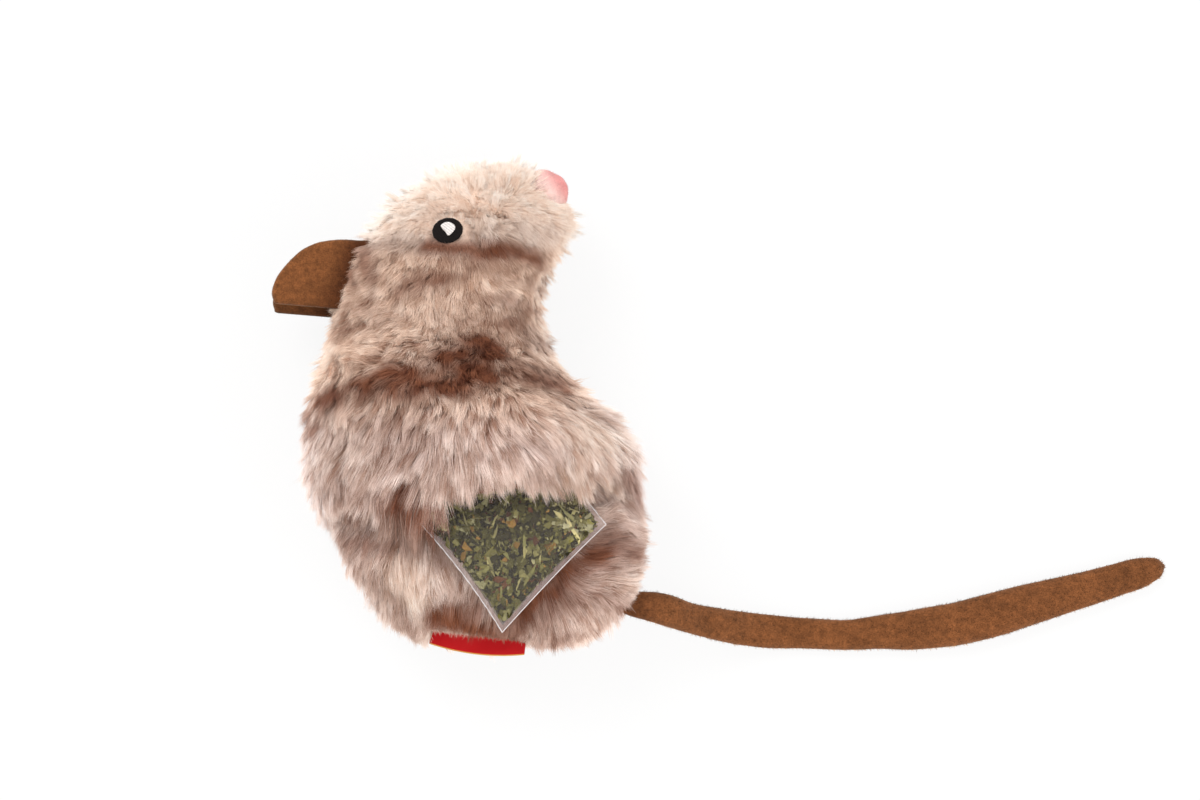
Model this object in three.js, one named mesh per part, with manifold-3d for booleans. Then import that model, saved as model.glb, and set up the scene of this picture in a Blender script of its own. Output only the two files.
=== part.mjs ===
// A stuffed catnip mouse, lying on one flank with its head up and its tail stretched out beside it.
// Millimetres. +Z is up from the table, +X runs from the mouse's back to its belly, +Y from its rump to its head.
// The origin is on the table, under the middle of the body. "Near" pieces face up, "far" pieces face the table.
// The plush panels include their pile, so their outer faces are where the fur ends.

import * as THREE from "three";
import { mergeVertices } from "three/addons/utils/BufferGeometryUtils.js";
import Module from "manifold-3d";

const wasm = await Module();
wasm.setup();

// Body and head
const BODY_LENGTH = 84; // rump to neck
const BODY_WIDTH = 86; // back to belly
const BODY_NEAR_DEPTH = 38; // seam plane to the crown of the upper flank
const BODY_FAR_DEPTH = 24.5; // seam plane to the underside, before the table flattens it
const HEAD_LENGTH = 40; // neck to crown
const HEAD_WIDTH = 54;
const HEAD_NEAR_DEPTH = 22.8;
const HEAD_FAR_DEPTH = 24.5;
const REST_FLAT = 0.5; // how deep the table flattens the underside

// Cloth
const PILE = 5.2;
const BACKING = 0.8;
const GAP = 0.3; // between pieces that touch
const PANEL = PILE + BACKING;

// Pocket and its closure
const FLAP_LENGTH = 13; // from the mouth's highest point to the fold
const STRIP_WIDTH = 5.5;
const STRIP_THICKNESS = 1.2;
const STRIP_INSET = 1.2; // from the flap's edge to the loop strip

// Sachet
const SACHET_SIDE = 37.5;
const SACHET_THICKNESS = 7;
const WELD = 3;
const FILM = 0.4;
const POUCH_WALL = 0.8;
const POUCH_CLEARANCE = 0.6;
const SACHET_ROOM = 2.4; // spare height in the pocket's mouth, over the sachet and both strips

// Ears
const EAR_BASE = 17.6;
const EAR_REACH = 20.5;
const EAR_THICKNESS = 1.8;
const EAR_SPACING = 15; // between the two ears' mid planes
const EAR_SEAT = 3.4; // how far inside the fur's edge the ear hinges
const FAR_EAR_DROP = 2.2; // the far ear shows below the near one

// Eyes
const EYE_WIDTH = 7.5;
const EYE_HEIGHT = 6.5;
const EYE_DOME = 1.5;
const EYE_SINK = 2.9; // depth of the trimmed pile round the eye
const EYE_CLEARANCE = 0.6;
const GLINT_SIZE = 3.6;
const GLINT_THICKNESS = 0.4;

// Nose
const NOSE_LENGTH = 12.6;
const NOSE_WIDTH = 15;
const NOSE_SEAT = 2.8; // how far the felt reaches into the pile

// Tail
const TAIL_REACH = 139;
const TAIL_WIDTH = 11;
const TAIL_THICKNESS = 6;
const TAIL_CLOTH = 1;
const TAIL_FAN_REACH = 16; // how far the parted pile runs out from the tail's root

// Label
const LABEL_WIDTH = 24;
const LABEL_LENGTH = 6.4;
const LABEL_RIBBON = 0.35;
const LABEL_SHOWS = 3.8; // length of the label below the parted pile
const LABEL_INSET = 1.2; // from the pile's edge to the label's fold

// Angles, in radians
const SACHET_TURN = THREE.MathUtils.degToRad(46);
const SACHET_TILT = THREE.MathUtils.degToRad(2);
const SACHET_ROLL = THREE.MathUtils.degToRad(6.5);
const EAR_LEAN = THREE.MathUtils.degToRad(18);
const EAR_FOLD_OUT = THREE.MathUtils.degToRad(50);
const EAR_FOLD_IN = THREE.MathUtils.degToRad(15);
const FLAP_LIFT = THREE.MathUtils.degToRad(30);
const TAIL_SWING = THREE.MathUtils.degToRad(40);
const LABEL_FLEX = THREE.MathUtils.degToRad(30);
const TAIL_HEADING = THREE.MathUtils.degToRad(-12);
const LABEL_LEAN = THREE.MathUtils.degToRad(-6.7);

// Derived levels and places
const SEAM_Z = BODY_FAR_DEPTH - REST_FLAT;
const REST_SHARE = 0.46; // the origin's place along the body
const NECK_Y = (1 - REST_SHARE) * BODY_LENGTH;
const BODY_LOWER_DEPTH =
  BODY_NEAR_DEPTH - PANEL - SACHET_THICKNESS - 2 * (STRIP_THICKNESS + 2 * GAP) - SACHET_ROOM;
const OVERRUN = BODY_LENGTH + HEAD_LENGTH + BODY_WIDTH + TAIL_REACH; // takes every cut past the model

// The body from rump to neck, as shares of its length, width and depths:
// place along it, back edge, belly edge, upper flank, lower flank, underside.
const bodyShares = [
  [0.015, -0.115, 0.175, 0.16, 0.32, 0.22],
  [0.045, -0.19, 0.335, 0.3, 0.58, 0.42],
  [0.08, -0.24, 0.388, 0.43, 0.74, 0.58],
  [0.128, -0.285, 0.432, 0.56, 0.85, 0.73],
  [0.188, -0.328, 0.472, 0.68, 0.91, 0.855],
  [0.259, -0.375, 0.493, 0.79, 0.95, 0.935],
  [0.342, -0.417, 0.498, 0.865, 0.98, 0.985],
  [0.438, -0.465, 0.495, 0.93, 1, 1],
  [0.5, -0.488, 0.49, 0.972, 1, 1],
  [0.57, -0.503, 0.48, 1, 0.99, 1],
  [0.64, -0.503, 0.46, 0.995, 0.97, 0.99],
  [0.723, -0.494, 0.4, 0.955, 0.94, 0.965],
  [0.783, -0.483, 0.334, 0.905, 0.9, 0.935],
  [0.842, -0.465, 0.276, 0.83, 0.86, 0.9],
  [0.908, -0.445, 0.235, 0.745, 0.84, 0.87],
  [1, -0.424, 0.21, 0.6, 0.82, 0.84],
];
const RUMP_SHARE = 0.02; // the rump's lowest point, across the width

// The head from neck to crown, likewise: place along it, back edge, face edge, near side, far side.
const headShares = [
  [0.094, -0.661, 0.328, 0.985, 0.9],
  [0.244, -0.624, 0.356, 0.99, 0.955],
  [0.394, -0.578, 0.398, 1, 1],
  [0.544, -0.5, 0.444, 0.99, 1],
  [0.669, -0.43, 0.454, 0.93, 0.955],
  [0.769, -0.361, 0.43, 0.84, 0.87],
  [0.856, -0.278, 0.393, 0.7, 0.73],
  [0.925, -0.157, 0.324, 0.53, 0.55],
  [0.97, -0.046, 0.231, 0.34, 0.35],
];
const CROWN_SHARE = 0.093;

// The snout narrows towards the nose: how much of the head's depth it loses, and from where to where, as shares of
// the head's width from a point in the head's middle.
const SNOUT_HEADING = THREE.MathUtils.degToRad(34);
const SNOUT_TAPER_SHARE = 0.45;
const SNOUT_START_SHARE = 0.11;
const SNOUT_END_SHARE = 0.45;
const SNOUT_MIDDLE_SHARE = 0.49;

// How round a cross-section is: 1 is an ellipse, less is squarer.
const NEAR_ROUND_SHARE = 0.8;
const FAR_ROUND_SHARE = 0.72;
const RING_SIDES = 32;

// The pocket's mouth across the flank, as shares of the body's width and length.
const mouthShares = [
  [-0.52, -0.125],
  [-0.22, -0.04],
  [0.1, 0.018],
  [0.3, 0.026],
  [0.52, 0.03],
];
const FLAP_BACK_SHARE = -0.23; // the flap's ends, across the width
const FLAP_BELLY_SHARE = 0.35;
const STRIP_SHORT_SHARE = 0.1; // how much shorter the strips are at each end

// The tail: place along its reach, sideways offset as a share of the reach, width as a share.
const tailShares = [
  [0.032, -0.009, 0.56],
  [0.086, -0.019, 0.7],
  [0.14, -0.036, 0.68],
  [0.194, -0.0486, 0.73],
  [0.266, -0.06, 0.78],
  [0.338, -0.0656, 0.71],
  [0.41, -0.068, 0.68],
  [0.482, -0.064, 0.76],
  [0.554, -0.0585, 0.92],
  [0.626, -0.0477, 0.98],
  [0.698, -0.03, 1],
  [0.77, -0.009, 0.92],
  [0.842, 0.01, 0.82],
  [0.914, 0.0315, 0.74],
  [0.968, 0.0477, 0.62],
  [0.992, 0.0545, 0.36],
];
const TAIL_ROOT_WIDTH_SHARE = 0.42;
const TAIL_TIP_SHARES = [1, 0.0565];
const ROUND_END_SHARE = 0.707; // where a round end's ring is, and its size
const TAIL_DROOP_SHARE = 0.32; // the share of its reach over which the tail comes down to the table
const TAIL_SIDES = 12;

// The ear's outline: share of the base along it, share of the reach out from it.
const earShares = [
  [0, 0],
  [-0.245, 0.885],
  [-0.2, 0.955],
  [-0.09, 1],
  [0.08, 1],
  [0.22, 0.97],
  [0.4, 0.905],
  [0.575, 0.82],
  [0.7, 0.72],
  [0.8, 0.6],
  [0.9, 0.41],
  [0.965, 0.21],
  [1, 0],
];
const EAR_FLARE_SHARE = 0.14; // how far the lower edge runs past the base inside the pile

// Places on the body and head, as shares along and across them.
const SACHET_CENTRE_SHARES = [0.093, 0.402];
const TAIL_ROOT_SHARES = [0.398, 0.168];
const EYE_SHARES = [-0.125, 0.547];
const NOSE_SHARES = [0.326, 0.79];
const EAR_SHARES = [-0.61, 0.052];
const LABEL_SHARE = 0.01;

// Solids

function toSolid(geometry) {
  const bare = geometry.clone();
  bare.deleteAttribute("normal");
  bare.deleteAttribute("uv");
  const merged = mergeVertices(bare);
  const triVerts = new Uint32Array(merged.index.array);
  return new wasm.Manifold(
    new wasm.Mesh({ numProp: 3, vertProperties: merged.attributes.position.array, triVerts }),
  );
}

function toGeometry(solid) {
  const { vertProperties, triVerts } = solid.getMesh();
  const geometry = new THREE.BufferGeometry();
  geometry.setAttribute("position", new THREE.BufferAttribute(vertProperties, 3));
  geometry.setIndex(new THREE.BufferAttribute(triVerts, 1));
  geometry.computeVertexNormals();
  return geometry;
}

function block(low, high) {
  const size = new THREE.Vector3().subVectors(high, low);
  const centre = new THREE.Vector3().addVectors(low, high).multiplyScalar(1 / 2);
  return toSolid(new THREE.BoxGeometry(size.x, size.y, size.z).translate(centre.x, centre.y, centre.z));
}

// Everything on one side of a level, such as { z: [0, null] } for all above the table.
function span({ x = [null, null], y = [null, null], z = [null, null] }) {
  const lows = [x, y, z].map(([low]) => low ?? -OVERRUN);
  const highs = [x, y, z].map(([, high]) => high ?? OVERRUN);
  return block(new THREE.Vector3(...lows), new THREE.Vector3(...highs));
}

// A closed skin through rings of points, shut at each end by a fan to one point.
function skin(rings, first, last) {
  const sides = rings[0].length;
  const points = [first, ...rings.flat(), last];
  const faces = [];
  const at = (ring, side) => 1 + ring * sides + (side % sides);
  for (let side = 0; side < sides; side++) {
    faces.push(0, at(0, side), at(0, side + 1));
    faces.push(points.length - 1, at(rings.length - 1, side + 1), at(rings.length - 1, side));
    for (let ring = 0; ring < rings.length - 1; ring++) {
      faces.push(at(ring, side), at(ring + 1, side), at(ring, side + 1));
      faces.push(at(ring, side + 1), at(ring + 1, side), at(ring + 1, side + 1));
    }
  }
  const geometry = new THREE.BufferGeometry().setFromPoints(points);
  geometry.setIndex(faces);
  return geometry;
}

// The same skin moved inwards by a depth, or outwards by a negative one.
function insetSkin({ rings, first, last }, depth) {
  const sides = rings[0].length;
  const inwards = new THREE.Vector3().subVectors(last, first).setLength(depth);
  const moved = rings.map((ring, i) =>
    ring.map((point, side) => {
      const before = i ? rings[i - 1][side] : first;
      const after = i < rings.length - 1 ? rings[i + 1][side] : last;
      const along = new THREE.Vector3().subVectors(after, before);
      const around = new THREE.Vector3().subVectors(ring[(side + 1) % sides], ring[(side + sides - 1) % sides]);
      return point.clone().addScaledVector(along.cross(around).normalize(), -depth);
    }),
  );
  return skin(moved, first.clone().add(inwards), last.clone().sub(inwards));
}

// Body and head form

const bodyY = (share) => (share - REST_SHARE) * BODY_LENGTH;
const headY = (share) => NECK_Y + share * HEAD_LENGTH;

function snoutDepth(x, y) {
  const out = x * Math.cos(SNOUT_HEADING) + (y - headY(SNOUT_MIDDLE_SHARE)) * Math.sin(SNOUT_HEADING);
  const narrowed = THREE.MathUtils.smoothstep(out / HEAD_WIDTH, SNOUT_START_SHARE, SNOUT_END_SHARE);
  return 1 - SNOUT_TAPER_SHARE * narrowed;
}

function crossSection(y, back, belly, near, far, depthAt = () => 1) {
  const middle = (back + belly) / 2;
  const half = (belly - back) / 2;
  return Array.from({ length: RING_SIDES }, (_, side) => {
    const turn = (side / RING_SIDES) * 2 * Math.PI;
    const up = side * 2 <= RING_SIDES;
    const power = up ? NEAR_ROUND_SHARE : FAR_ROUND_SHARE;
    const across = Math.sign(Math.cos(turn)) * Math.abs(Math.cos(turn)) ** power;
    const rise = Math.abs(Math.sin(turn)) ** power;
    const x = middle + half * across;
    return new THREE.Vector3(x, y, SEAM_Z + (up ? near : -far) * rise * depthAt(x, y));
  });
}

const bodyRings = (flank) =>
  bodyShares.map(([along, back, belly, upper, lower, far]) =>
    crossSection(
      bodyY(along),
      back * BODY_WIDTH,
      belly * BODY_WIDTH,
      flank === "upper" ? upper * BODY_NEAR_DEPTH : lower * BODY_LOWER_DEPTH,
      far * BODY_FAR_DEPTH,
    ),
  );
const headRings = headShares.map(([along, back, face, near, far]) =>
  crossSection(
    headY(along),
    back * HEAD_WIDTH,
    face * HEAD_WIDTH,
    near * HEAD_NEAR_DEPTH,
    far * HEAD_FAR_DEPTH,
    snoutDepth,
  ),
);
const rump = new THREE.Vector3(RUMP_SHARE * BODY_WIDTH, bodyY(0), SEAM_Z);
const crown = new THREE.Vector3(CROWN_SHARE * HEAD_WIDTH, headY(1), SEAM_Z);
const neckMiddle = new THREE.Vector3(0, NECK_Y, SEAM_Z);

const wholeForm = { rings: [...bodyRings("upper"), ...headRings], first: rump, last: crown };
const lowerForm = { rings: bodyRings("lower"), first: rump, last: neckMiddle };
const whole = (depth) => toSolid(insetSkin(wholeForm, depth));
const lower = (depth) => toSolid(insetSkin(lowerForm, depth));

// Regions that part one panel from the next
const near = span({ z: [SEAM_Z + GAP / 2, null] });
const far = span({ z: [0, SEAM_Z - GAP / 2] });
const headSide = span({ y: [NECK_Y + GAP / 2, null] });
const bodySide = span({ y: [null, NECK_Y - GAP / 2] });

const mouthPoints = mouthShares.map(([x, y]) => new THREE.Vector2(x * BODY_WIDTH, y * BODY_LENGTH));
const mouthCurve = new THREE.SplineCurve(mouthPoints).getPoints(mouthShares.length * 4);
const mouthTop = Math.max(...mouthCurve.map((point) => point.y));

// Everything headwards of the mouth's line, with the line moved headwards by a distance.
function headwardOfMouth(distance) {
  const line = [
    new THREE.Vector2(-OVERRUN, mouthPoints[0].y),
    ...mouthCurve,
    new THREE.Vector2(OVERRUN, mouthPoints.at(-1).y),
    new THREE.Vector2(OVERRUN, OVERRUN),
    new THREE.Vector2(-OVERRUN, OVERRUN),
  ];
  const prism = new THREE.ExtrudeGeometry(new THREE.Shape(line), { depth: 2 * OVERRUN, bevelEnabled: false });
  return toSolid(prism.translate(0, distance, -OVERRUN));
}

const foldY = mouthTop + FLAP_LENGTH;
const foldZ = SEAM_Z + BODY_NEAR_DEPTH - PILE;
const flapBack = FLAP_BACK_SHARE * BODY_WIDTH;
const flapBelly = FLAP_BELLY_SHARE * BODY_WIDTH;

// The wedge of pile that parts above the flap's fold, so that the flap can lift.
function partedPile() {
  const high = 2 * PANEL;
  const wedge = new THREE.Shape([
    new THREE.Vector2(0, 0),
    new THREE.Vector2(0, high),
    new THREE.Vector2(-high * Math.tan(FLAP_LIFT), high),
  ]);
  const prism = new THREE.ExtrudeGeometry(wedge, { depth: 2 * OVERRUN, bevelEnabled: false });
  prism.translate(0, 0, -OVERRUN).applyMatrix4(new THREE.Matrix4().set(0, 0, 1, 0, 1, 0, 0, 0, 0, 1, 0, 0, 0, 0, 0, 1));
  return toSolid(prism.translate(0, foldY - GAP, foldZ));
}

// Sachet form, in its own frame: a square pillow welded flat round its edge

const PILLOW_CELLS = 12;
const PILLOW_ROUND_SHARE = 0.6;

function pillow(side, swell, edge) {
  const flat = side / 2 - WELD;
  const heightAt = (x, y) => {
    const [across, along] = [x, y].map((place) => Math.max(0, 1 - (place / flat) ** 2));
    return edge + (swell - edge) * (across * along) ** PILLOW_ROUND_SHARE;
  };
  const places = Array.from({ length: PILLOW_CELLS + 1 }, (_, i) => -flat + (2 * flat * i) / PILLOW_CELLS);
  places.unshift(-side / 2);
  places.push(side / 2);
  const rows = places.length;
  const sheet = (up) => places.flatMap((y) => places.map((x) => new THREE.Vector3(x, y, up * heightAt(x, y))));
  const points = [...sheet(1), ...sheet(-1)];
  const faces = [];
  const top = (x, y) => y * rows + x;
  const bottom = (x, y) => rows * rows + top(x, y);
  const quad = (a, b, c, d) => faces.push(a, b, c, a, c, d);
  for (let y = 0; y < rows - 1; y++) {
    for (let x = 0; x < rows - 1; x++) {
      quad(top(x, y), top(x + 1, y), top(x + 1, y + 1), top(x, y + 1));
      quad(bottom(x, y), bottom(x, y + 1), bottom(x + 1, y + 1), bottom(x + 1, y));
    }
  }
  for (let i = 0; i < rows - 1; i++) {
    quad(bottom(i, 0), bottom(i + 1, 0), top(i + 1, 0), top(i, 0));
    quad(bottom(rows - 1, i), bottom(rows - 1, i + 1), top(rows - 1, i + 1), top(rows - 1, i));
    quad(bottom(i + 1, rows - 1), bottom(i, rows - 1), top(i, rows - 1), top(i + 1, rows - 1));
    quad(bottom(0, i + 1), bottom(0, i), top(0, i), top(0, i + 1));
  }
  const geometry = new THREE.BufferGeometry().setFromPoints(points);
  geometry.setIndex(faces);
  return geometry;
}

const SEAT_SWELL_SHARE = 0.8; // how full the sachet is where it passes over the hook strip
const sachetHeight =
  SEAM_Z +
  BODY_LOWER_DEPTH +
  STRIP_THICKNESS +
  2 * GAP +
  (SEAT_SWELL_SHARE * SACHET_THICKNESS) / 2;
const sachetPlace = new THREE.Matrix4()
  .makeTranslation(SACHET_CENTRE_SHARES[0] * BODY_WIDTH, bodyY(SACHET_CENTRE_SHARES[1]), sachetHeight)
  .multiply(new THREE.Matrix4().makeRotationY(SACHET_ROLL))
  .multiply(new THREE.Matrix4().makeRotationX(SACHET_TILT))
  .multiply(new THREE.Matrix4().makeRotationZ(SACHET_TURN));

// Tail form

const tailRoot = new THREE.Vector3(TAIL_ROOT_SHARES[0] * BODY_WIDTH, bodyY(TAIL_ROOT_SHARES[1]), SEAM_Z);

function tailStation(along, sideways, widthShare) {
  const left = Math.min(1, along / TAIL_DROOP_SHARE);
  const droop = (1 - left) ** 2 * (1 + 2 * left);
  const floor = (widthShare * TAIL_THICKNESS) / 2;
  const height = floor + (SEAM_Z - floor) * droop;
  const centre = new THREE.Vector3(tailRoot.x + along * TAIL_REACH, tailRoot.y + sideways * TAIL_REACH, height);
  return { centre, half: (widthShare * TAIL_WIDTH) / 2, rise: floor };
}

// The sewn end is rounded in plan, so that it turns in the parted pile.
const tailRootHalf = (TAIL_ROOT_WIDTH_SHARE * TAIL_WIDTH) / 2;
const rootDirection = new THREE.Vector3(Math.cos(TAIL_HEADING), Math.sin(TAIL_HEADING), 0);
const behindRoot = (share) => tailRoot.clone().addScaledVector(rootDirection, -share * tailRootHalf);
const tailStations = [
  { ...tailStation(0, 0, TAIL_ROOT_WIDTH_SHARE), centre: behindRoot(ROUND_END_SHARE), half: tailRootHalf * ROUND_END_SHARE },
  tailStation(0, 0, TAIL_ROOT_WIDTH_SHARE),
  ...tailShares.map(([along, sideways, width]) => tailStation(along, sideways, width)),
];

// The tail's rings, drawn in by the cloth's thickness where it is the filling's.
function tailRings(drawnIn) {
  return tailStations.map(({ centre, half, rise }, i) => {
    const before = tailStations[Math.max(0, i - 1)].centre;
    const after = tailStations[Math.min(tailStations.length - 1, i + 1)].centre;
    const along = new THREE.Vector3().subVectors(after, before).normalize();
    const side = new THREE.Vector3(-along.y, along.x, 0).normalize();
    const up = new THREE.Vector3().crossVectors(along, side);
    return Array.from({ length: TAIL_SIDES }, (_, k) => {
      const turn = (k / TAIL_SIDES) * 2 * Math.PI;
      return centre
        .clone()
        .addScaledVector(side, Math.cos(turn) * (half - drawnIn))
        .addScaledVector(up, -Math.sin(turn) * (rise - drawnIn));
    });
  });
}

const tailTip = tailStation(...TAIL_TIP_SHARES, 0).centre.setZ(tailStations.at(-1).rise);

// The pile parted in a fan round the tail's root, so that the tail can swing.
function tailFan() {
  const fan = new THREE.Shape();
  const from = TAIL_HEADING - TAIL_SWING;
  const to = TAIL_HEADING + TAIL_SWING;
  const outHalf = TAIL_WIDTH / 2 + GAP;
  const rim = (turn, off) => [
    TAIL_FAN_REACH * Math.cos(turn) - off * Math.sin(turn),
    TAIL_FAN_REACH * Math.sin(turn) + off * Math.cos(turn),
  ];
  fan.absarc(0, 0, tailRootHalf + GAP, to + Math.PI / 2, from - Math.PI / 2 + 2 * Math.PI, false);
  fan.lineTo(...rim(from, -outHalf));
  fan.lineTo(2 * TAIL_FAN_REACH, 0);
  fan.lineTo(...rim(to, outHalf));
  const height = 2 * TAIL_THICKNESS;
  const prism = new THREE.ExtrudeGeometry(fan, { depth: height, bevelEnabled: false, curveSegments: RING_SIDES / 2 });
  const top = SEAM_Z + (TAIL_ROOT_WIDTH_SHARE * TAIL_THICKNESS) / 2 + GAP;
  return toSolid(prism.translate(tailRoot.x, tailRoot.y, top - height));
}

// Ear form, in its own frame: the base along +Y, the reach along -X, hinged on the Y axis

function earOutline() {
  const points = earShares.map(([along, out]) => new THREE.Vector2(-out * EAR_REACH, along * EAR_BASE));
  return new THREE.Shape(points);
}

function earPlate() {
  const plate = new THREE.ExtrudeGeometry(earOutline(), { depth: EAR_THICKNESS, bevelEnabled: false });
  return plate.translate(0, 0, -EAR_THICKNESS / 2);
}

const earRoot = (side) =>
  new THREE.Vector3(
    EAR_SHARES[0] * HEAD_WIDTH + EAR_SEAT * Math.cos(EAR_LEAN) - (GAP + EAR_THICKNESS) / 2,
    headY(EAR_SHARES[1]) - (side < 0 ? FAR_EAR_DROP : 0),
    SEAM_Z + (side * EAR_SPACING) / 2,
  );

// The slot in the pile that an ear stands in, wide enough for it to fold. Side is 1 for the near ear, -1 for the far.
function earSlot(side) {
  const half = EAR_THICKNESS / 2 + GAP;
  const deep = 2 * (EAR_SEAT + PILE);
  const section = new THREE.Shape([
    new THREE.Vector2(half, -side * half),
    slotCorner(-EAR_FOLD_IN, -half, deep, side),
    slotCorner(EAR_FOLD_OUT, half, deep, side),
    new THREE.Vector2(half, side * half),
  ]);
  const flare = EAR_FLARE_SHARE * EAR_BASE + GAP;
  const length = EAR_BASE + GAP + flare;
  const prism = new THREE.ExtrudeGeometry(section, { depth: length, bevelEnabled: false });
  prism.rotateX(Math.PI / 2).translate(0, length - flare, 0);
  const root = earRoot(side);
  return toSolid(prism.rotateZ(-EAR_LEAN).translate(root.x, root.y, root.z));
}

// Where one face of a folded ear is at a distance from its hinge, across the ear's base.
function slotCorner(turn, off, deep, side) {
  return new THREE.Vector2(
    off * Math.sin(turn) - deep * Math.cos(turn),
    side * (off * Math.cos(turn) + deep * Math.sin(turn)),
  );
}

// Eye and nose places

const nearLevel = Math.max(...headShares.map(([, , , share]) => share)) * HEAD_NEAR_DEPTH;
const farLevel = Math.max(...headShares.map(([, , , , share]) => share)) * HEAD_FAR_DEPTH;
const eyeFloor = (side) => SEAM_Z + (side > 0 ? nearLevel : -Math.min(farLevel, SEAM_Z)) - side * EYE_SINK;

function eyeWell(side) {
  const radius = EYE_WIDTH / 2 + EYE_CLEARANCE;
  const well = new THREE.CylinderGeometry(radius, radius, 2 * EYE_SINK, RING_SIDES).rotateX(Math.PI / 2);
  well.scale(1, EYE_HEIGHT / EYE_WIDTH, 1);
  const [x, y] = [EYE_SHARES[0] * HEAD_WIDTH, headY(EYE_SHARES[1])];
  return toSolid(well.translate(x, y, eyeFloor(side) + side * EYE_SINK));
}

function noseBall(grown) {
  const ball = new THREE.SphereGeometry(1, RING_SIDES * 3 / 4, RING_SIDES / 2);
  ball.scale(NOSE_LENGTH / 2 + grown, NOSE_LENGTH / 2 + grown, NOSE_WIDTH / 2 + grown);
  return toSolid(ball.translate(NOSE_SHARES[0] * HEAD_WIDTH, headY(NOSE_SHARES[1]), SEAM_Z));
}

// Label form: a ribbon folded on itself, its fold outwards

const labelY = bodyY(0) + LABEL_INSET + LABEL_SHOWS;
const labelRise = 2 * LABEL_RIBBON + GAP;

function labelLoop() {
  const bend = labelRise / 2;
  const inner = GAP / 2;
  const profile = new THREE.Shape();
  profile.moveTo(0, 0);
  profile.lineTo(LABEL_LENGTH - bend, 0);
  profile.absarc(LABEL_LENGTH - bend, bend, bend, -Math.PI / 2, Math.PI / 2, false);
  profile.lineTo(0, labelRise);
  profile.lineTo(0, bend + inner);
  profile.lineTo(LABEL_LENGTH - bend, bend + inner);
  profile.absarc(LABEL_LENGTH - bend, bend, inner, Math.PI / 2, -Math.PI / 2, true);
  profile.lineTo(0, bend - inner);
  const ribbon = new THREE.ExtrudeGeometry(profile, { depth: LABEL_WIDTH, bevelEnabled: false, curveSegments: 6 });
  return ribbon.rotateX(Math.PI / 2).rotateZ(-Math.PI / 2);
}

// Pieces

const fur = new THREE.MeshStandardMaterial({ color: 0xcdb0a0, roughness: 0.95, metalness: 0 });
const darkFur = new THREE.MeshStandardMaterial({ color: 0xb89484, roughness: 0.95, metalness: 0 });
const fibre = new THREE.MeshStandardMaterial({ color: 0xf2f0ea, roughness: 1, metalness: 0 });
const lining = new THREE.MeshStandardMaterial({ color: 0xbfa795, roughness: 0.9, metalness: 0 });
const hooks = new THREE.MeshStandardMaterial({ color: 0x8f7566, roughness: 0.8, metalness: 0 });
const suede = new THREE.MeshStandardMaterial({ color: 0x7f5431, roughness: 0.9, metalness: 0 });
const pinkFelt = new THREE.MeshStandardMaterial({ color: 0xf3a3a0, roughness: 0.95, metalness: 0 });
const blackThread = new THREE.MeshStandardMaterial({ color: 0x0c0c0e, roughness: 0.5, metalness: 0 });
const whiteThread = new THREE.MeshStandardMaterial({ color: 0xf1eef0, roughness: 0.5, metalness: 0 });
const redRibbon = new THREE.MeshStandardMaterial({ color: 0xc8101a, roughness: 0.45, metalness: 0 });
const clearFilm = new THREE.MeshStandardMaterial({
  color: 0xe8ecea,
  roughness: 0.12,
  metalness: 0,
  transparent: true,
  opacity: 0.35,
});
const driedLeaf = new THREE.MeshStandardMaterial({ color: 0x5c6a3c, roughness: 0.9, metalness: 0 });

const mouse = new THREE.Group();

function addPiece(name, shape, material, parent = mouse) {
  const mesh = new THREE.Mesh(shape.isBufferGeometry ? shape : toGeometry(shape), material);
  mesh.name = name;
  parent.add(mesh);
  return mesh;
}

const plush = whole(0).subtract(whole(PANEL));
const lowerPlush = lower(0).subtract(lower(PANEL));
const aboveMouth = headwardOfMouth(GAP / 2);
const flapSide = span({ x: [flapBack - GAP, flapBelly + GAP], y: [null, foldY] });
const insideFold = headwardOfMouth(FLAP_LENGTH).subtract(flapSide);
const tailNotch = tailFan();

const labelHalf = LABEL_WIDTH / 2 + GAP;
const labelSewn = LABEL_LENGTH - LABEL_SHOWS;
const labelSlot = block(
  new THREE.Vector3(-labelHalf, 0, -GAP),
  new THREE.Vector3(
    labelHalf,
    labelSewn + labelRise * Math.sin(LABEL_FLEX) + GAP,
    labelSewn * Math.tan(LABEL_FLEX) + labelRise / Math.cos(LABEL_FLEX) + GAP,
  ),
);
const labelNotch = block(
  new THREE.Vector3(-labelHalf, -2 * LABEL_LENGTH, -GAP),
  new THREE.Vector3(labelHalf, 0, BODY_NEAR_DEPTH),
);
const labelPlace = new THREE.Matrix4()
  .makeTranslation(LABEL_SHARE * BODY_WIDTH, labelY, SEAM_Z + GAP / 2)
  .multiply(new THREE.Matrix4().makeRotationZ(LABEL_LEAN));
const labelRoom = labelSlot.add(labelNotch).transform(labelPlace.elements);

function addBody() {
  const farPanel = plush.intersect(far).intersect(bodySide).subtract(tailNotch).subtract(earSlot(-1));
  addPiece("body_far_panel", farPanel, fur);

  const upperPanel = plush.intersect(near).intersect(bodySide).intersect(aboveMouth);
  addPiece("body_upper_panel", upperPanel.subtract(flapSide), fur);

  const flapRoom = span({ x: [flapBack, flapBelly], y: [null, foldY - GAP] }).subtract(partedPile());
  addPiece("pocket_flap", upperPanel.intersect(flapRoom), fur);

  const underFlap = whole(PANEL + GAP).subtract(headwardOfMouth(FLAP_LENGTH - GAP));
  const belowMouth = span({}).subtract(headwardOfMouth(-GAP / 2));
  const lowerRoom = underFlap.add(belowMouth);
  const lowerPanel = lowerPlush.intersect(near).intersect(lowerRoom).subtract(tailNotch).subtract(labelRoom);
  addPiece("body_lower_panel", lowerPanel, darkFur);
}

function stripRoom(inset) {
  const short = STRIP_SHORT_SHARE * BODY_WIDTH;
  const ends = span({ x: [flapBack + short, flapBelly - short] });
  return headwardOfMouth(inset).subtract(headwardOfMouth(inset + STRIP_WIDTH)).intersect(ends).intersect(near);
}

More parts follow.
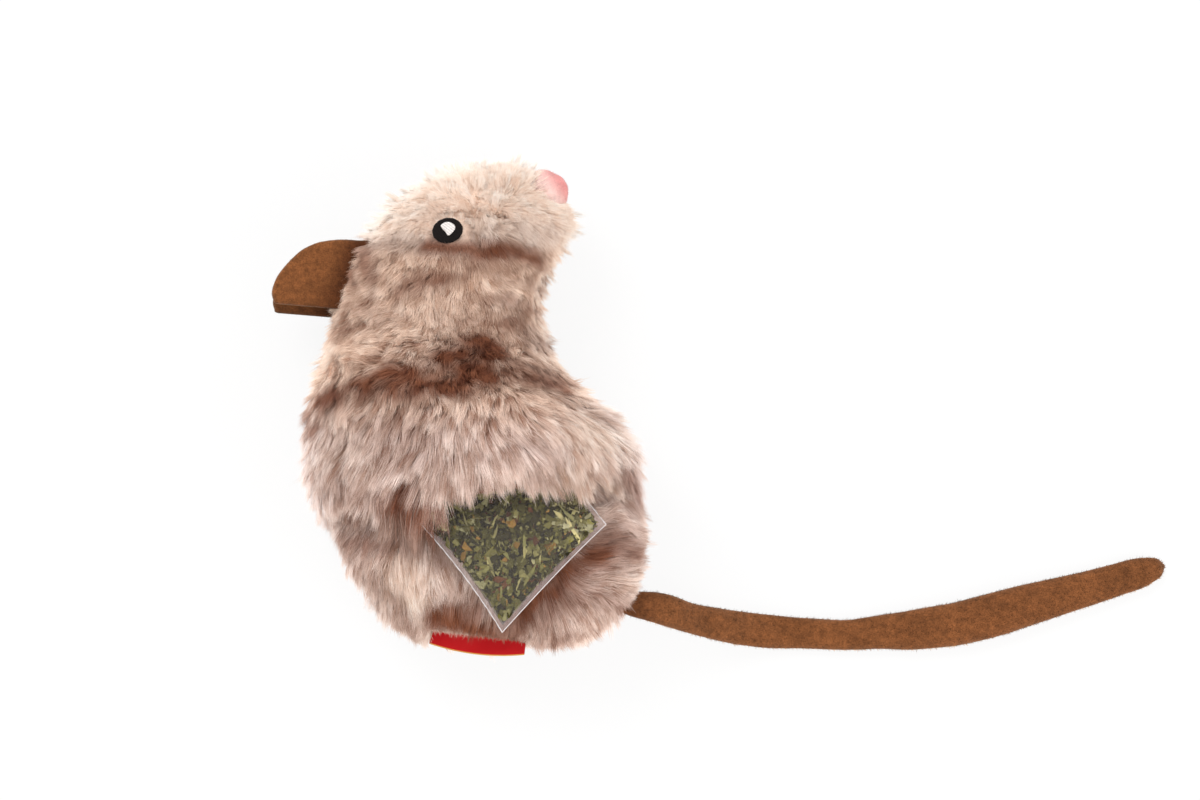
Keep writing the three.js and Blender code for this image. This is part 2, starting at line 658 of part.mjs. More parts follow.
function addClosure() {
  const loops = whole(PANEL + GAP).subtract(whole(PANEL + GAP + STRIP_THICKNESS));
  addPiece("loop_strip", loops.intersect(stripRoom(STRIP_INSET)), lining);
  const hookLayer = lower(-GAP - STRIP_THICKNESS).subtract(lower(-GAP));
  addPiece("hook_strip", hookLayer.intersect(stripRoom(STRIP_INSET)), hooks);
}

function pouchPillow(grown) {
  const grownSide = SACHET_SIDE + 2 * grown;
  const grownEdge = FILM + GAP / 2 + grown;
  return toSolid(pillow(grownSide, SACHET_THICKNESS / 2 + grown, grownEdge).applyMatrix4(sachetPlace));
}

function addFilling() {
  const pouch = pouchPillow(POUCH_CLEARANCE + POUCH_WALL).subtract(pouchPillow(POUCH_CLEARANCE));
  addPiece("pocket_pouch", pouch.intersect(insideFold), lining);

  const core = whole(PANEL + GAP);
  const stuffed = core.intersect(insideFold).add(lower(PANEL + GAP)).intersect(bodySide).intersect(core);
  const room = pouchPillow(POUCH_CLEARANCE + POUCH_WALL + GAP).add(labelRoom).add(tailNotch);
  addPiece("body_stuffing", stuffed.subtract(room), fibre);
  addPiece("head_stuffing", core.intersect(headSide), fibre);
}

function addHead() {
  const nose = noseBall(0);
  addPiece("nose", nose.subtract(whole(NOSE_SEAT)), pinkFelt);
  const noseRoom = noseBall(GAP).subtract(whole(NOSE_SEAT + GAP));
  for (const side of [1, -1]) {
    const name = side > 0 ? "near" : "far";
    const half = side > 0 ? near : far;
    const panel = plush.intersect(half).intersect(headSide);
    const cut = panel.subtract(noseRoom).subtract(earSlot(side)).subtract(eyeWell(side));
    addPiece(`head_${name}_panel`, cut, fur);
  }
}

function addEars() {
  for (const side of [1, -1]) {
    const root = new THREE.Group();
    root.position.copy(earRoot(side));
    root.rotation.z = -EAR_LEAN;
    addPiece(side > 0 ? "near_ear" : "far_ear", earPlate(), suede, root);
    mouse.add(root);
  }
}

function eyeDome() {
  const turns = 6;
  const profile = Array.from({ length: turns + 1 }, (_, i) => {
    const turn = (i / turns) * (Math.PI / 2);
    return new THREE.Vector2((EYE_WIDTH / 2) * Math.cos(turn), (EYE_DOME / 2) * (1 + Math.sin(turn)));
  });
  const outline = [new THREE.Vector2(0, 0), new THREE.Vector2(EYE_WIDTH / 2, 0), ...profile];
  outline[outline.length - 1].x = 0;
  return new THREE.LatheGeometry(outline, RING_SIDES * 3 / 4).rotateX(Math.PI / 2);
}

// The white glint: a rounded triangle
function eyeGlint() {
  const reach = GLINT_SIZE / 2;
  const shape = new THREE.Shape();
  shape.moveTo(-reach, reach / 2);
  shape.quadraticCurveTo(-reach / 2, reach, reach / 2, reach * 3 / 4);
  shape.quadraticCurveTo(reach * 5 / 4, reach / 2, reach * 3 / 4, -reach / 4);
  shape.quadraticCurveTo(reach / 4, -reach * 5 / 4, -reach / 4, -reach * 3 / 4);
  shape.quadraticCurveTo(-reach / 2, 0, -reach, reach / 2);
  return new THREE.ExtrudeGeometry(shape, { depth: GLINT_THICKNESS, bevelEnabled: false, curveSegments: 5 });
}

function addEyes() {
  for (const side of [1, -1]) {
    const name = side > 0 ? "near" : "far";
    const eye = new THREE.Group();
    eye.position.set(EYE_SHARES[0] * HEAD_WIDTH, headY(EYE_SHARES[1]), eyeFloor(side) + side * GAP);
    eye.rotation.x = side > 0 ? 0 : Math.PI;
    const dome = addPiece(`${name}_eye`, eyeDome(), blackThread, eye);
    dome.scale.y = EYE_HEIGHT / EYE_WIDTH;
    const glint = addPiece(`${name}_eye_glint`, eyeGlint(), whiteThread, eye);
    glint.position.set(0, side * GLINT_SIZE / 4, EYE_DOME + GAP);
    mouse.add(eye);
  }
}

function addTail() {
  const cover = toSolid(skin(tailRings(0), behindRoot(1), tailTip));
  const hollowRings = tailRings(TAIL_CLOTH).slice(1, -1);
  const back = new THREE.Vector3().subVectors(behindRoot(2), tailRoot);
  hollowRings.unshift(hollowRings[0].map((point) => point.clone().add(back)));
  const hollow = toSolid(skin(hollowRings, behindRoot(2), tailStations.at(-2).centre));
  addPiece("tail_cover", cover.subtract(hollow), suede);

  const fillingRings = tailRings(TAIL_CLOTH + GAP).slice(2, -2);
  addPiece("tail_filling", skin(fillingRings, tailStations[2].centre, tailStations.at(-3).centre), fibre);
}

function addLabel() {
  const label = new THREE.Group();
  label.applyMatrix4(labelPlace);
  const ribbon = addPiece("side_label", labelLoop(), redRibbon, label);
  ribbon.position.set(LABEL_WIDTH / 2, labelSewn, 0);
  mouse.add(label);
}

function addSachet() {
  const sachet = new THREE.Group();
  sachet.applyMatrix4(sachetPlace);
  const edge = FILM + GAP / 2;
  const skinOf = toSolid(pillow(SACHET_SIDE, SACHET_THICKNESS / 2, edge));
  const inside = toSolid(pillow(SACHET_SIDE, SACHET_THICKNESS / 2 - FILM, GAP / 2));
  const film = skinOf.subtract(inside);
  addPiece("sachet_front_film", film.intersect(span({ z: [GAP / 2, null] })), clearFilm, sachet);
  addPiece("sachet_back_film", film.intersect(span({ z: [null, -GAP / 2] })), clearFilm, sachet);
  const leaves = toSolid(pillow(SACHET_SIDE - 2 * GAP, SACHET_THICKNESS / 2 - FILM - GAP, 0));
  addPiece("catnip_leaves", leaves, driedLeaf, sachet);
  mouse.add(sachet);
}

addBody();
addClosure();
addFilling();
addHead();
addEars();
addEyes();
addTail();
addLabel();
addSachet();

export default mouse;
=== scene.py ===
"""Looks for a plush catnip mouse that lies on one flank: pile, suede, felt, stitching, label and sachet.

Lengths in this file are millimetres until a mesh is made. Places taken from the photograph are pixels of its
1200 by 800 frame, at 0.25 mm a pixel.
"""

import math

import bmesh
import bpy
import numpy as np
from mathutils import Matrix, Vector, kdtree


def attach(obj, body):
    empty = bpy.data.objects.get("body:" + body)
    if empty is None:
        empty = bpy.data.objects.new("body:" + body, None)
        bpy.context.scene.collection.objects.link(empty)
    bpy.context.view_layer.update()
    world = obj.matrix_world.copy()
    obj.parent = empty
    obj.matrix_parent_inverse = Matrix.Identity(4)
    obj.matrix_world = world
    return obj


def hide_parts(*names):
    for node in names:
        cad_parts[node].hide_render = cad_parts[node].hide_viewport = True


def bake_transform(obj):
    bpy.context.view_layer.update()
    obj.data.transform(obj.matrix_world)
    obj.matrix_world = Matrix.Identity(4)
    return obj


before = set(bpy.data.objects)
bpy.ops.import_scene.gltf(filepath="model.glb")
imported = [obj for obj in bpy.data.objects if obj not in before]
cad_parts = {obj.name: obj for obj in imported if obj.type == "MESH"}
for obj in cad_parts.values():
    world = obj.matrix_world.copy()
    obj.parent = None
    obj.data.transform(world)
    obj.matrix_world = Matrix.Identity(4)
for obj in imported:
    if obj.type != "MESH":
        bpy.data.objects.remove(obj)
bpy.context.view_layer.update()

MM = 0.001

# The plush form, as in the CAD source: its sizes, then rows of shares of them

BODY_LENGTH, BODY_WIDTH, BODY_NEAR, BODY_LOWER, BODY_FAR = 84, 86, 38, 19, 24.5
HEAD_LENGTH, HEAD_WIDTH, HEAD_NEAR, HEAD_FAR = 40, 54, 22.8, 24.5
SEAM, NECK, RUMP = 24.0, 45.36, -38.64
PILE, BACKING = 5.2, 0.8
ROOT, UNDER = 3.4, 2.2  # how deep the strands start, and the dense undercoat that hides their roots
# Along, edge at the back, edge at the belly, near height with the flap and under it, far depth
BODY = [
    [0.015, -0.115, 0.175, 0.16, 0.32, 0.22],
    [0.045, -0.19, 0.335, 0.3, 0.58, 0.42],
    [0.08, -0.24, 0.388, 0.43, 0.74, 0.58],
    [0.128, -0.285, 0.432, 0.56, 0.85, 0.73],
    [0.188, -0.328, 0.472, 0.68, 0.91, 0.855],
    [0.259, -0.375, 0.493, 0.79, 0.95, 0.935],
    [0.342, -0.417, 0.498, 0.865, 0.98, 0.985],
    [0.438, -0.465, 0.495, 0.93, 1, 1],
    [0.5, -0.488, 0.49, 0.972, 1, 1],
    [0.57, -0.503, 0.48, 1, 0.99, 1],
    [0.64, -0.503, 0.46, 0.995, 0.97, 0.99],
    [0.723, -0.494, 0.4, 0.955, 0.94, 0.965],
    [0.783, -0.483, 0.334, 0.905, 0.9, 0.935],
    [0.842, -0.465, 0.276, 0.83, 0.86, 0.9],
    [0.908, -0.445, 0.235, 0.745, 0.84, 0.87],
    [1, -0.424, 0.21, 0.6, 0.82, 0.84],
]
# Along, edge at the back, edge at the face, near height, far depth
HEAD = [
    [0.094, -0.661, 0.328, 0.985, 0.9],
    [0.244, -0.624, 0.356, 0.99, 0.955],
    [0.394, -0.578, 0.398, 1, 1],
    [0.544, -0.5, 0.444, 0.99, 1],
    [0.669, -0.43, 0.454, 0.93, 0.955],
    [0.769, -0.361, 0.43, 0.84, 0.87],
    [0.856, -0.278, 0.393, 0.7, 0.73],
    [0.925, -0.157, 0.324, 0.53, 0.55],
    [0.97, -0.046, 0.231, 0.34, 0.35],
]
MOUTH_X = np.array([-0.52, -0.22, 0.1, 0.3, 0.52]) * BODY_WIDTH
MOUTH_Y = np.array([-0.125, -0.04, 0.018, 0.026, 0.03]) * BODY_LENGTH
FLAP_X = (-19.8, 30.1)
FOLD_Y = 15.4
EYE = np.array([-6.75, 67.24])
NOSE = np.array([17.6, 76.96, 24.0])
SNOUT_HEADING, SNOUT_TAPER, SNOUT_START, SNOUT_END, SNOUT_MIDDLE = math.radians(34), 0.45, 0.11, 0.45, 0.49
SACHET = np.array([8.5, -4.7, 47.6])
LABEL = np.array([0.86, -33.64, 24.15])
LABEL_LEAN, LABEL_HALF = math.radians(-6.7), 12
TAIL_ROOT, TAIL_REACH, TAIL_HALF = np.array([34.228, -24.528]), 139, 5.5
# Along, across, half the width
TAIL = [
    [0, 0, 0.42],
    [0.032, -0.009, 0.56],
    [0.086, -0.019, 0.7],
    [0.14, -0.036, 0.68],
    [0.194, -0.0486, 0.73],
    [0.266, -0.06, 0.78],
    [0.338, -0.0656, 0.71],
    [0.41, -0.068, 0.68],
    [0.482, -0.064, 0.76],
    [0.554, -0.0585, 0.92],
    [0.626, -0.0477, 0.98],
    [0.698, -0.03, 1],
    [0.77, -0.009, 0.92],
    [0.842, 0.01, 0.82],
    [0.914, 0.0315, 0.74],
    [0.968, 0.0477, 0.62],
    [0.992, 0.0545, 0.36],
    [1, 0.0565, 0.05],
]
EAR_REACH, EAR_HIGH, EAR_HALF, EAR_LEAN = 20.5, 17.6, 0.9, math.radians(-18)
# The outline from its seam: along, outward
EAR = [
    [0, 0],
    [-0.245, 0.885],
    [-0.2, 0.955],
    [-0.09, 1],
    [0.08, 1],
    [0.22, 0.97],
    [0.4, 0.905],
    [0.575, 0.82],
    [0.7, 0.72],
    [0.8, 0.6],
    [0.9, 0.41],
    [0.965, 0.21],
    [1, 0],
]


def srgb(r, g, b):
    """A linear colour from numbers of 0 to 255."""
    c = np.array([r, g, b], float) / 255
    return np.where(c <= 0.04045, c / 12.92, ((c + 0.055) / 1.055) ** 2.4)


def within(colours):
    """Colours scaled down, where any channel is above 1, so that their hue stays."""
    return np.maximum(colours / np.maximum(colours.max(-1, keepdims=True), 1), 0)


def ease(x, low, high):
    """A smooth step from 0 at low to 1 at high."""
    t = np.clip((x - low) / (high - low), 0, 1)
    return t * t * (3 - 2 * t)


def unit(v):
    return v / np.maximum(np.linalg.norm(v, axis=-1, keepdims=True), 1e-9)


def mixed(a, b, share):
    """Colours or directions between a and b, by each place's own share of b."""
    share = share[:, None]
    return a * (1 - share) + b * share


def turned(angle):
    """The matrix of a turn in the plane."""
    c, s = math.cos(angle), math.sin(angle)
    return np.array([[c, -s], [s, c]])


class Waves:
    """Smooth noise of about -1 to 1: a sum of sine waves in random directions."""

    def __init__(self, seed, size, count=9):
        rng = np.random.default_rng(seed)
        self.way = unit(rng.normal(size=(count, 3))) * (2 * math.pi / size) * rng.uniform(0.6, 1.6, (count, 1))
        self.start = rng.uniform(0, 2 * math.pi, count)

    def __call__(self, p):
        return np.sin(p @ self.way.T + self.start).sum(-1) / math.sqrt(len(self.start)) / 1.3


# Forms


def stations():
    """Rows along the mouse: place, edge at the back and at the belly, height of the near side with and without the
    flap, and depth of the far side."""
    rows = [[RUMP, 1.72, 1.72, 0, 0, 0]]
    for along, back, belly, upper, lower, far in BODY:
        y = RUMP + along * BODY_LENGTH
        rows.append([y, back * BODY_WIDTH, belly * BODY_WIDTH, upper * BODY_NEAR, lower * BODY_LOWER, far * BODY_FAR])
    for along, back, face, near, far in HEAD:
        y = NECK + along * HEAD_LENGTH
        rows.append([y, back * HEAD_WIDTH, face * HEAD_WIDTH, near * HEAD_NEAR, 0, far * HEAD_FAR])
    rows.append([NECK + HEAD_LENGTH, 5.0, 5.0, 0, 0, 0])
    return np.array(rows)


def smooth_rows(rows, per):
    """A smooth curve through the rows, with per points to each. Its parameter is the distance along them, so round
    ends stay round."""
    step = np.linalg.norm(np.diff(rows[:, :3], axis=0), axis=1)
    slope = np.diff(rows, axis=0) / step[:, None]
    a, b = step[:-1, None], step[1:, None]
    tangent = np.vstack([slope[:1], (slope[:-1] * b + slope[1:] * a) / (a + b), slope[-1:]])
    out = []
    for i, h in enumerate(step):
        for k in range(per):
            t = k / per
            out.append(
                rows[i] * (1 + 2 * t) * (1 - t) ** 2
                + tangent[i] * h * t * (1 - t) ** 2
                + rows[i + 1] * t * t * (3 - 2 * t)
                + tangent[i + 1] * h * t * t * (t - 1)
            )
    out.append(rows[-1])
    return np.array(out)


def form(lower=False, sides=220, per=10):
    """Points and outward normals of the pile's outer surface, as a grid of rings."""
    rows = smooth_rows(stations(), per)
    if lower:
        rows = rows[rows[:, 0] < 22]
    turn = np.linspace(0, 2 * math.pi, sides, endpoint=False)
    cos, sin = np.cos(turn), np.sin(turn)
    near = sin >= 0
    power = np.where(near, 0.8, 0.72)
    across = np.sign(cos) * np.abs(cos) ** power
    rise = np.abs(sin) ** power
    y, back, belly = rows[:, 0:1], np.minimum(rows[:, 1:2], rows[:, 2:3]), rows[:, 2:3]
    depth = np.where(near, rows[:, 4:5] if lower else rows[:, 3:4], -rows[:, 5:6])
    x = (back + belly) / 2 + (belly - back) / 2 * across
    y = np.broadcast_to(y, x.shape)
    middle = NECK + SNOUT_MIDDLE * HEAD_LENGTH
    out = (x * math.cos(SNOUT_HEADING) + (y - middle) * math.sin(SNOUT_HEADING)) / HEAD_WIDTH
    taper = np.where(y > NECK, 1 - SNOUT_TAPER * ease(out, SNOUT_START, SNOUT_END), 1)
    z = np.maximum(SEAM + depth * rise * taper, 0)
    grid = np.stack([x, y, z], -1)
    around = np.roll(grid, -1, 1) - np.roll(grid, 1, 1)
    normal = unit(np.cross(around, np.gradient(grid, axis=0)))
    for _ in range(3):
        normal = unit(normal + np.roll(normal, 1, 1) + np.roll(normal, -1, 1))
        normal[1:-1] = unit(normal[1:-1] + 0.5 * (normal[:-2] + normal[2:]))
    normal = -normal if normal[:, 5, 2].mean() < 0 else normal
    normal[0], normal[-1] = (0, -1, 0), (0, 1, 0)
    return grid, normal


def mouth_y(x):
    """The line of the pocket's lip."""
    return np.interp(x, MOUTH_X, MOUTH_Y)


def on_label(p):
    """Places in the label's own directions: across it, and outward from the edge of the notch in the pile."""
    return (p[..., :2] - LABEL[:2]) @ turned(LABEL_LEAN)


def sample(grid, normal, keep, density, rng):
    """Random points on the grid's cells that keep() takes, density to a square millimetre, and their normals."""
    a, b = grid[:-1], np.roll(grid, -1, 1)[:-1]
    c, d = np.roll(grid, -1, 1)[1:], grid[1:]
    area = np.linalg.norm(np.cross(c - a, d - b), axis=-1) / 2
    area = np.where(keep((a + b + c + d) / 4), area, 0).ravel()
    count = int(area.sum() * density)
    cell = rng.choice(area.size, count, p=area / area.sum())
    i, j = np.divmod(cell, grid.shape[1])
    k = (j + 1) % grid.shape[1]
    u, v = rng.random((2, count, 1))

    def mix(g):
        return (1 - v) * ((1 - u) * g[i, j] + u * g[i, k]) + v * ((1 - u) * g[i + 1, j] + u * g[i + 1, k])

    return mix(grid), unit(mix(normal))


# Colour of the pile: dark strokes, as width, strength and a polyline in photograph pixels, and pale spots, as place,
# size and strength. The strokes are partly the pile's dyed bands and partly painted shade: under the pocket's lip,
# beside and below the sachet, above the label and round the ear's root. The pale spots are partly paler pile and partly
# painted highlight along the right outline. The palettes give the colours at a strand's root and at its tip.

STROKES = [
    (11, 0.95, 430, 247, 462, 246, 490, 249, 512, 251, 538, 257),
    (10, 1.0, 474, 252, 502, 253),
    (8, 0.45, 404, 247, 434, 249),
    (9, 0.45, 450, 230, 480, 238),
    (12, 0.25, 446, 226, 500, 230, 550, 232),
    (10, 0.5, 356, 306, 400, 312),
    (12, 0.8, 378, 386, 398, 396),
    (10, 0.35, 455, 492, 490, 494),
    (9, 0.4, 540, 480, 572, 486),
    (12, 0.4, 332, 488, 372, 500),
    (11, 0.6, 424, 546, 444, 562),
    (16, 0.7, 584, 562, 626, 554),
    (10, 0.2, 352, 284, 392, 292),
    # Painted shade round the ear's root
    (9, 0.7, 343, 262, 352, 280),
    (9, 0.4, 362, 246, 400, 244),
    (13, 0.35, 524, 444, 556, 458),
    (10, 0.5, 358, 520, 376, 530),
    (9, 0.6, 396, 612, 412, 630),
    (8, 0.4, 580, 402, 618, 424),
    (9, 0.6, 456, 262, 500, 266),
    # Painted shade round the ear's root
    (11, 0.75, 362, 250, 370, 270, 376, 290),
    (10, 0.35, 345, 286, 372, 302, 390, 310),
    (10, 0.65, 403, 293, 430, 285, 463, 276),
    (9, 0.45, 490, 268, 515, 276, 537, 288),
    (9, 0.5, 477, 300, 510, 304, 543, 312),
    (9, 0.45, 333, 334, 352, 328, 378, 320),
    (9, 0.45, 470, 326, 520, 332, 550, 345),
    (12, 0.95, 322, 404, 340, 396, 356, 386, 384, 374, 420, 368, 452, 352, 476, 346, 494, 352),
    (13, 1.0, 464, 352, 490, 358),
    (16, 1.0, 362, 388, 404, 386, 440, 386, 464, 384),
    (12, 0.9, 464, 382, 498, 380),
    (13, 0.85, 430, 372, 490, 372),
    (15, 0.35, 350, 376, 400, 356, 450, 336, 500, 332),
    (10, 0.5, 396, 400, 430, 404),
    (12, 0.75, 500, 374, 540, 380, 566, 388),
    (12, 0.5, 400, 418, 440, 432),
    (30, 0.3, 392, 446, 450, 466),
    (10, 0.8, 302, 400, 312, 428),
    (12, 0.25, 330, 440, 345, 470),
    # Painted shade under the pocket's lip, left of the sachet
    (19, 0.95, 398, 510, 415, 520, 440, 528),
    (14, 0.7, 352, 545, 386, 542, 420, 545),
    (12, 0.45, 372, 585, 392, 606),
    (10, 0.7, 626, 476, 636, 502),
    # Painted shadow of the sachet on the pile: this stroke and the three below it
    (19, 1.0, 508, 628, 538, 600, 572, 566, 606, 542),
    (16, 0.7, 540, 616, 576, 594),
    (16, 0.8, 600, 542, 634, 552),
    (18, 0.55, 584, 576, 624, 604),
    # Painted shade above the label: this stroke and the two below it
    (14, 1.0, 438, 620, 470, 624, 514, 636),
    (10, 0.8, 452, 610, 476, 612),
    (12, 0.5, 520, 642, 566, 650),
]
# Pale spots: partly paler pile, partly painted highlight along the right outline, where the pile is lit from behind
PALE = [
    (598, 436, 36, 0.75),
    (345, 455, 30, 0.35),
    (430, 322, 34, 0.25),
    (405, 588, 34, 0.7),
    (412, 606, 20, 1.0),
    (422, 642, 12, 0.3),
    (572, 484, 28, 0.7),
    (512, 498, 20, 0.4),
    (612, 486, 15, 0.6),
    (636, 580, 22, 0.3),
    (552, 285, 18, 0.6),
    (545, 344, 20, 0.7),
    (505, 303, 20, 0.4),
]
DARK = srgb(76, 28, 9), srgb(142, 84, 56)
LIGHT = srgb(154, 94, 66), srgb(246, 223, 210)
WARM = srgb(156, 90, 54), srgb(250, 220, 196)
CREAM = srgb(248, 214, 190), srgb(255, 238, 223)
patches, streaks = Waves(5, 26), Waves(6, 9)


def in_pixels(p):
    origin, pixels = [475, 500], [4, -4]  # to a millimetre
    return origin + p[:, :2] * pixels


def mottle(p):
    """Uneven lightness of the pile, strongest on the neck: above 0 darker, below 0 paler."""
    size = np.interp(p[:, 1], [12, 28, 56, 62], [1, 2.2, 2.2, 0.4])
    return size * (0.07 * patches(p) + 0.08 * streaks(p * [1, 1.6, 1]))


def paleness(p):
    at = in_pixels(p)
    pale = np.clip(-0.9 * mottle(p), 0, 0.5)
    for x, y, size, strength in PALE:
        pale = np.maximum(pale, strength * np.exp(-(((at - [x, y]) / size) ** 2).sum(-1)))
    return pale


def darkness(p):
    at = in_pixels(p) + 5 * np.stack([streaks(p), patches(p)], -1)
    dark = np.zeros(len(p))
    for width, strength, *line in STROKES:
        line = np.reshape(line, (-1, 2)).astype(float)
        nearest = np.full(len(p), 1e9)
        for a, b in zip(line[:-1], line[1:]):
            t = np.clip(((at - a) @ (b - a)) / ((b - a) @ (b - a)), 0, 1)
            nearest = np.minimum(nearest, np.linalg.norm(at - a - t[:, None] * (b - a), axis=1))
        dark = np.maximum(dark, strength * (1 - ease(nearest, 0, width * 2)))
    unseen = ease(SEAM - p[:, 2], 0, 8)
    return np.clip(dark * (1 - 0.65 * unseen) + mottle(p) * (1 - 0.4 * unseen), 0, 1)


def pile_colours(seen, t, tone):
    """Colours down each strand, for the shares t of its length, from the place where the strand is seen most.
    tone is each strand's own lightness, with any painted highlight that the caller adds."""
    cream = np.maximum(ease(seen[:, 1] - 0.1 * np.abs(seen[:, 0] + 3), 57, 65), paleness(seen))
    bottom, top = LIGHT
    for (root, tip), part in ((WARM, ease(seen[:, 1], 12, 30)), (CREAM, cream), (DARK, darkness(seen))):
        bottom, top = mixed(bottom, root, part), mixed(top, tip, part)
    share = np.clip(t[None, :] * tone[:, None] ** 3, 0, 1)[..., None]
    warmer = tone[:, None] ** np.array([0.75, 1.05, 1.3])
    return within((bottom[:, None] * (1 - share) + top[:, None] * share) * warmer[:, None])


# Lie of the pile


def lie(p):
    """The direction in which the pile lies at a place, before it is laid on the surface."""
    x, y = p[:, 0], p[:, 1]
    middle = np.interp(y, [-38, -20, 0, 20, 30, 45, 60, 72, 85], [2, -2, -3, -2, -6, -6, -4, 1, 4])
    half = np.interp(y, [-38, -30, -10, 10, 30, 45, 60, 75, 85], [14, 30, 40, 42, 34, 27, 26, 20, 8])
    side = np.clip((x - middle) / half, -1.2, 1.2)
    side = side * (0.4 + 0.6 * np.minimum(side**2, 1))
    down = np.interp(y, [-38, 50, 60, 67, 72, 76, 80, 85], [1, 1, 0.95, 0.8, 0.45, 0.0, -0.6, -1])
    spread = np.interp(y, [-38, 35, 55, 70, 85], [0.75, 0.85, 1.1, 1.3, 1.2])
    way = np.stack([side * spread, -down, np.zeros(len(p))], -1)
    beside = (ease(x, 17, 27) * ease(y, -27, -19) * (1 - ease(y, -6, 4)))[:, None]
    way = way * (1 - beside) + np.array([1, -0.12, 0]) * beside
    way[:, 2] -= 0.9 * ease(-y, 20, 35) + 0.9 * ease(y, 76, 84)
    size = np.linalg.norm(way, axis=1, keepdims=True)
    swirl = np.stack([Waves(13, 7)(p), Waves(14, 7)(p), 0 * x], -1)
    way = way + np.maximum(0.85 - size, 0) * unit(swirl)
    return way / np.maximum(np.linalg.norm(way, axis=1, keepdims=True), 0.55)


NOSE_SHOWS = np.array([[15.5, 80.5], [19, 82.25], [22, 81], [23.25, 75], [21.25, 74.25], [17.75, 77.5]])


def over_nose(p):
    """Whether a place is over the part of the felt nose that the pile leaves bare."""
    inside = np.ones(len(p), bool)
    for a, b in zip(NOSE_SHOWS, np.roll(NOSE_SHOWS, -1, 0)):
        edge = b - a
        inside &= edge[0] * (p[:, 1] - a[1]) - edge[1] * (p[:, 0] - a[0]) < 1.2
    return inside


def pile_length(p):
    """How far the pile lies along the surface: short on the face, long and silky on the body."""
    return np.interp(p[:, 1], [-38, -20, 10, 22, 32, 48, 60, 72, 85], [6.5, 8, 9.5, 7.5, 5.2, 4.6, 3.8, 3.6, 3.2])


def paint_mesh(mesh, colours):
    """Gives each vertex its own linear colour, in the attribute tint."""
    layer = mesh.color_attributes.new("tint", "FLOAT_COLOR", "POINT")
    rgba = np.concatenate([colours, np.ones((len(colours), 1))], -1)
    layer.data.foreach_set("color", rgba.astype(np.float32).ravel())


def add_object(name, mesh):
    thing = bpy.data.objects.new(name, mesh)
    bpy.context.scene.collection.objects.link(thing)
    return thing


def ribbons(name, path, across, shares, wide, colours, shade, material, order):
    """Tapered ribbons that end in a point, one along each path. Each has its own cell of the map OFBake."""
    count, steps = path.shape[:2]
    left = path - across * wide[..., None] / 2
    right = path + across * wide[..., None] / 2
    points = np.concatenate([np.stack([left, right], 2)[:, :-1].reshape(count, -1, 3), path[:, -1:]], 1)
    each = 2 * steps - 1
    quads = np.array([[2 * k, 2 * k + 1, 2 * k + 3, 2 * k + 2] for k in range(steps - 2)])
    corner = np.concatenate([quads.ravel(), [each - 3, each - 2, each - 1]])
    corner = (corner[None] + each * np.arange(count)[:, None]).ravel()
    totals = np.tile([4] * (steps - 2) + [3], count)
    cells = math.ceil(math.sqrt(count))
    place = np.empty(count, int)
    place[order] = np.arange(count)
    cell = np.stack([place % cells, place // cells], -1) / cells
    rise = np.concatenate([np.repeat(shares[:-1], 2), [1]])
    sides = np.concatenate([np.tile([0.15, 0.85], steps - 1), [0.5]])
    spot = cell[:, None] + np.stack([sides, 0.06 + 0.88 * rise], -1)[None] / cells
    both = [np.concatenate([np.repeat(v[:, :-1], 2, 1), v[:, -1:]], 1) for v in (colours, shade)]
    mesh = bpy.data.meshes.new(name)
    mesh.vertices.add(count * each)
    mesh.vertices.foreach_set("co", (points * MM).astype(np.float32).ravel())
    mesh.loops.add(len(corner))
    mesh.loops.foreach_set("vertex_index", corner.astype(np.int32))
    mesh.polygons.add(len(totals))
    mesh.polygons.foreach_set("loop_start", (np.cumsum(totals) - totals).astype(np.int32))
    mesh.update(calc_edges=True)
    mesh.polygons.foreach_set("use_smooth", np.ones(len(totals), bool))
    layer = mesh.uv_layers.new(name="OFBake")
    layer.uv.foreach_set("vector", spot.reshape(-1, 2)[corner].astype(np.float32).ravel())
    paint_mesh(mesh, both[0].reshape(-1, 3))
    mesh.normals_split_custom_set_from_vertices(both[1].reshape(-1, 3).astype(np.float32))
    mesh.materials.append(material)
    return add_object(name, mesh)


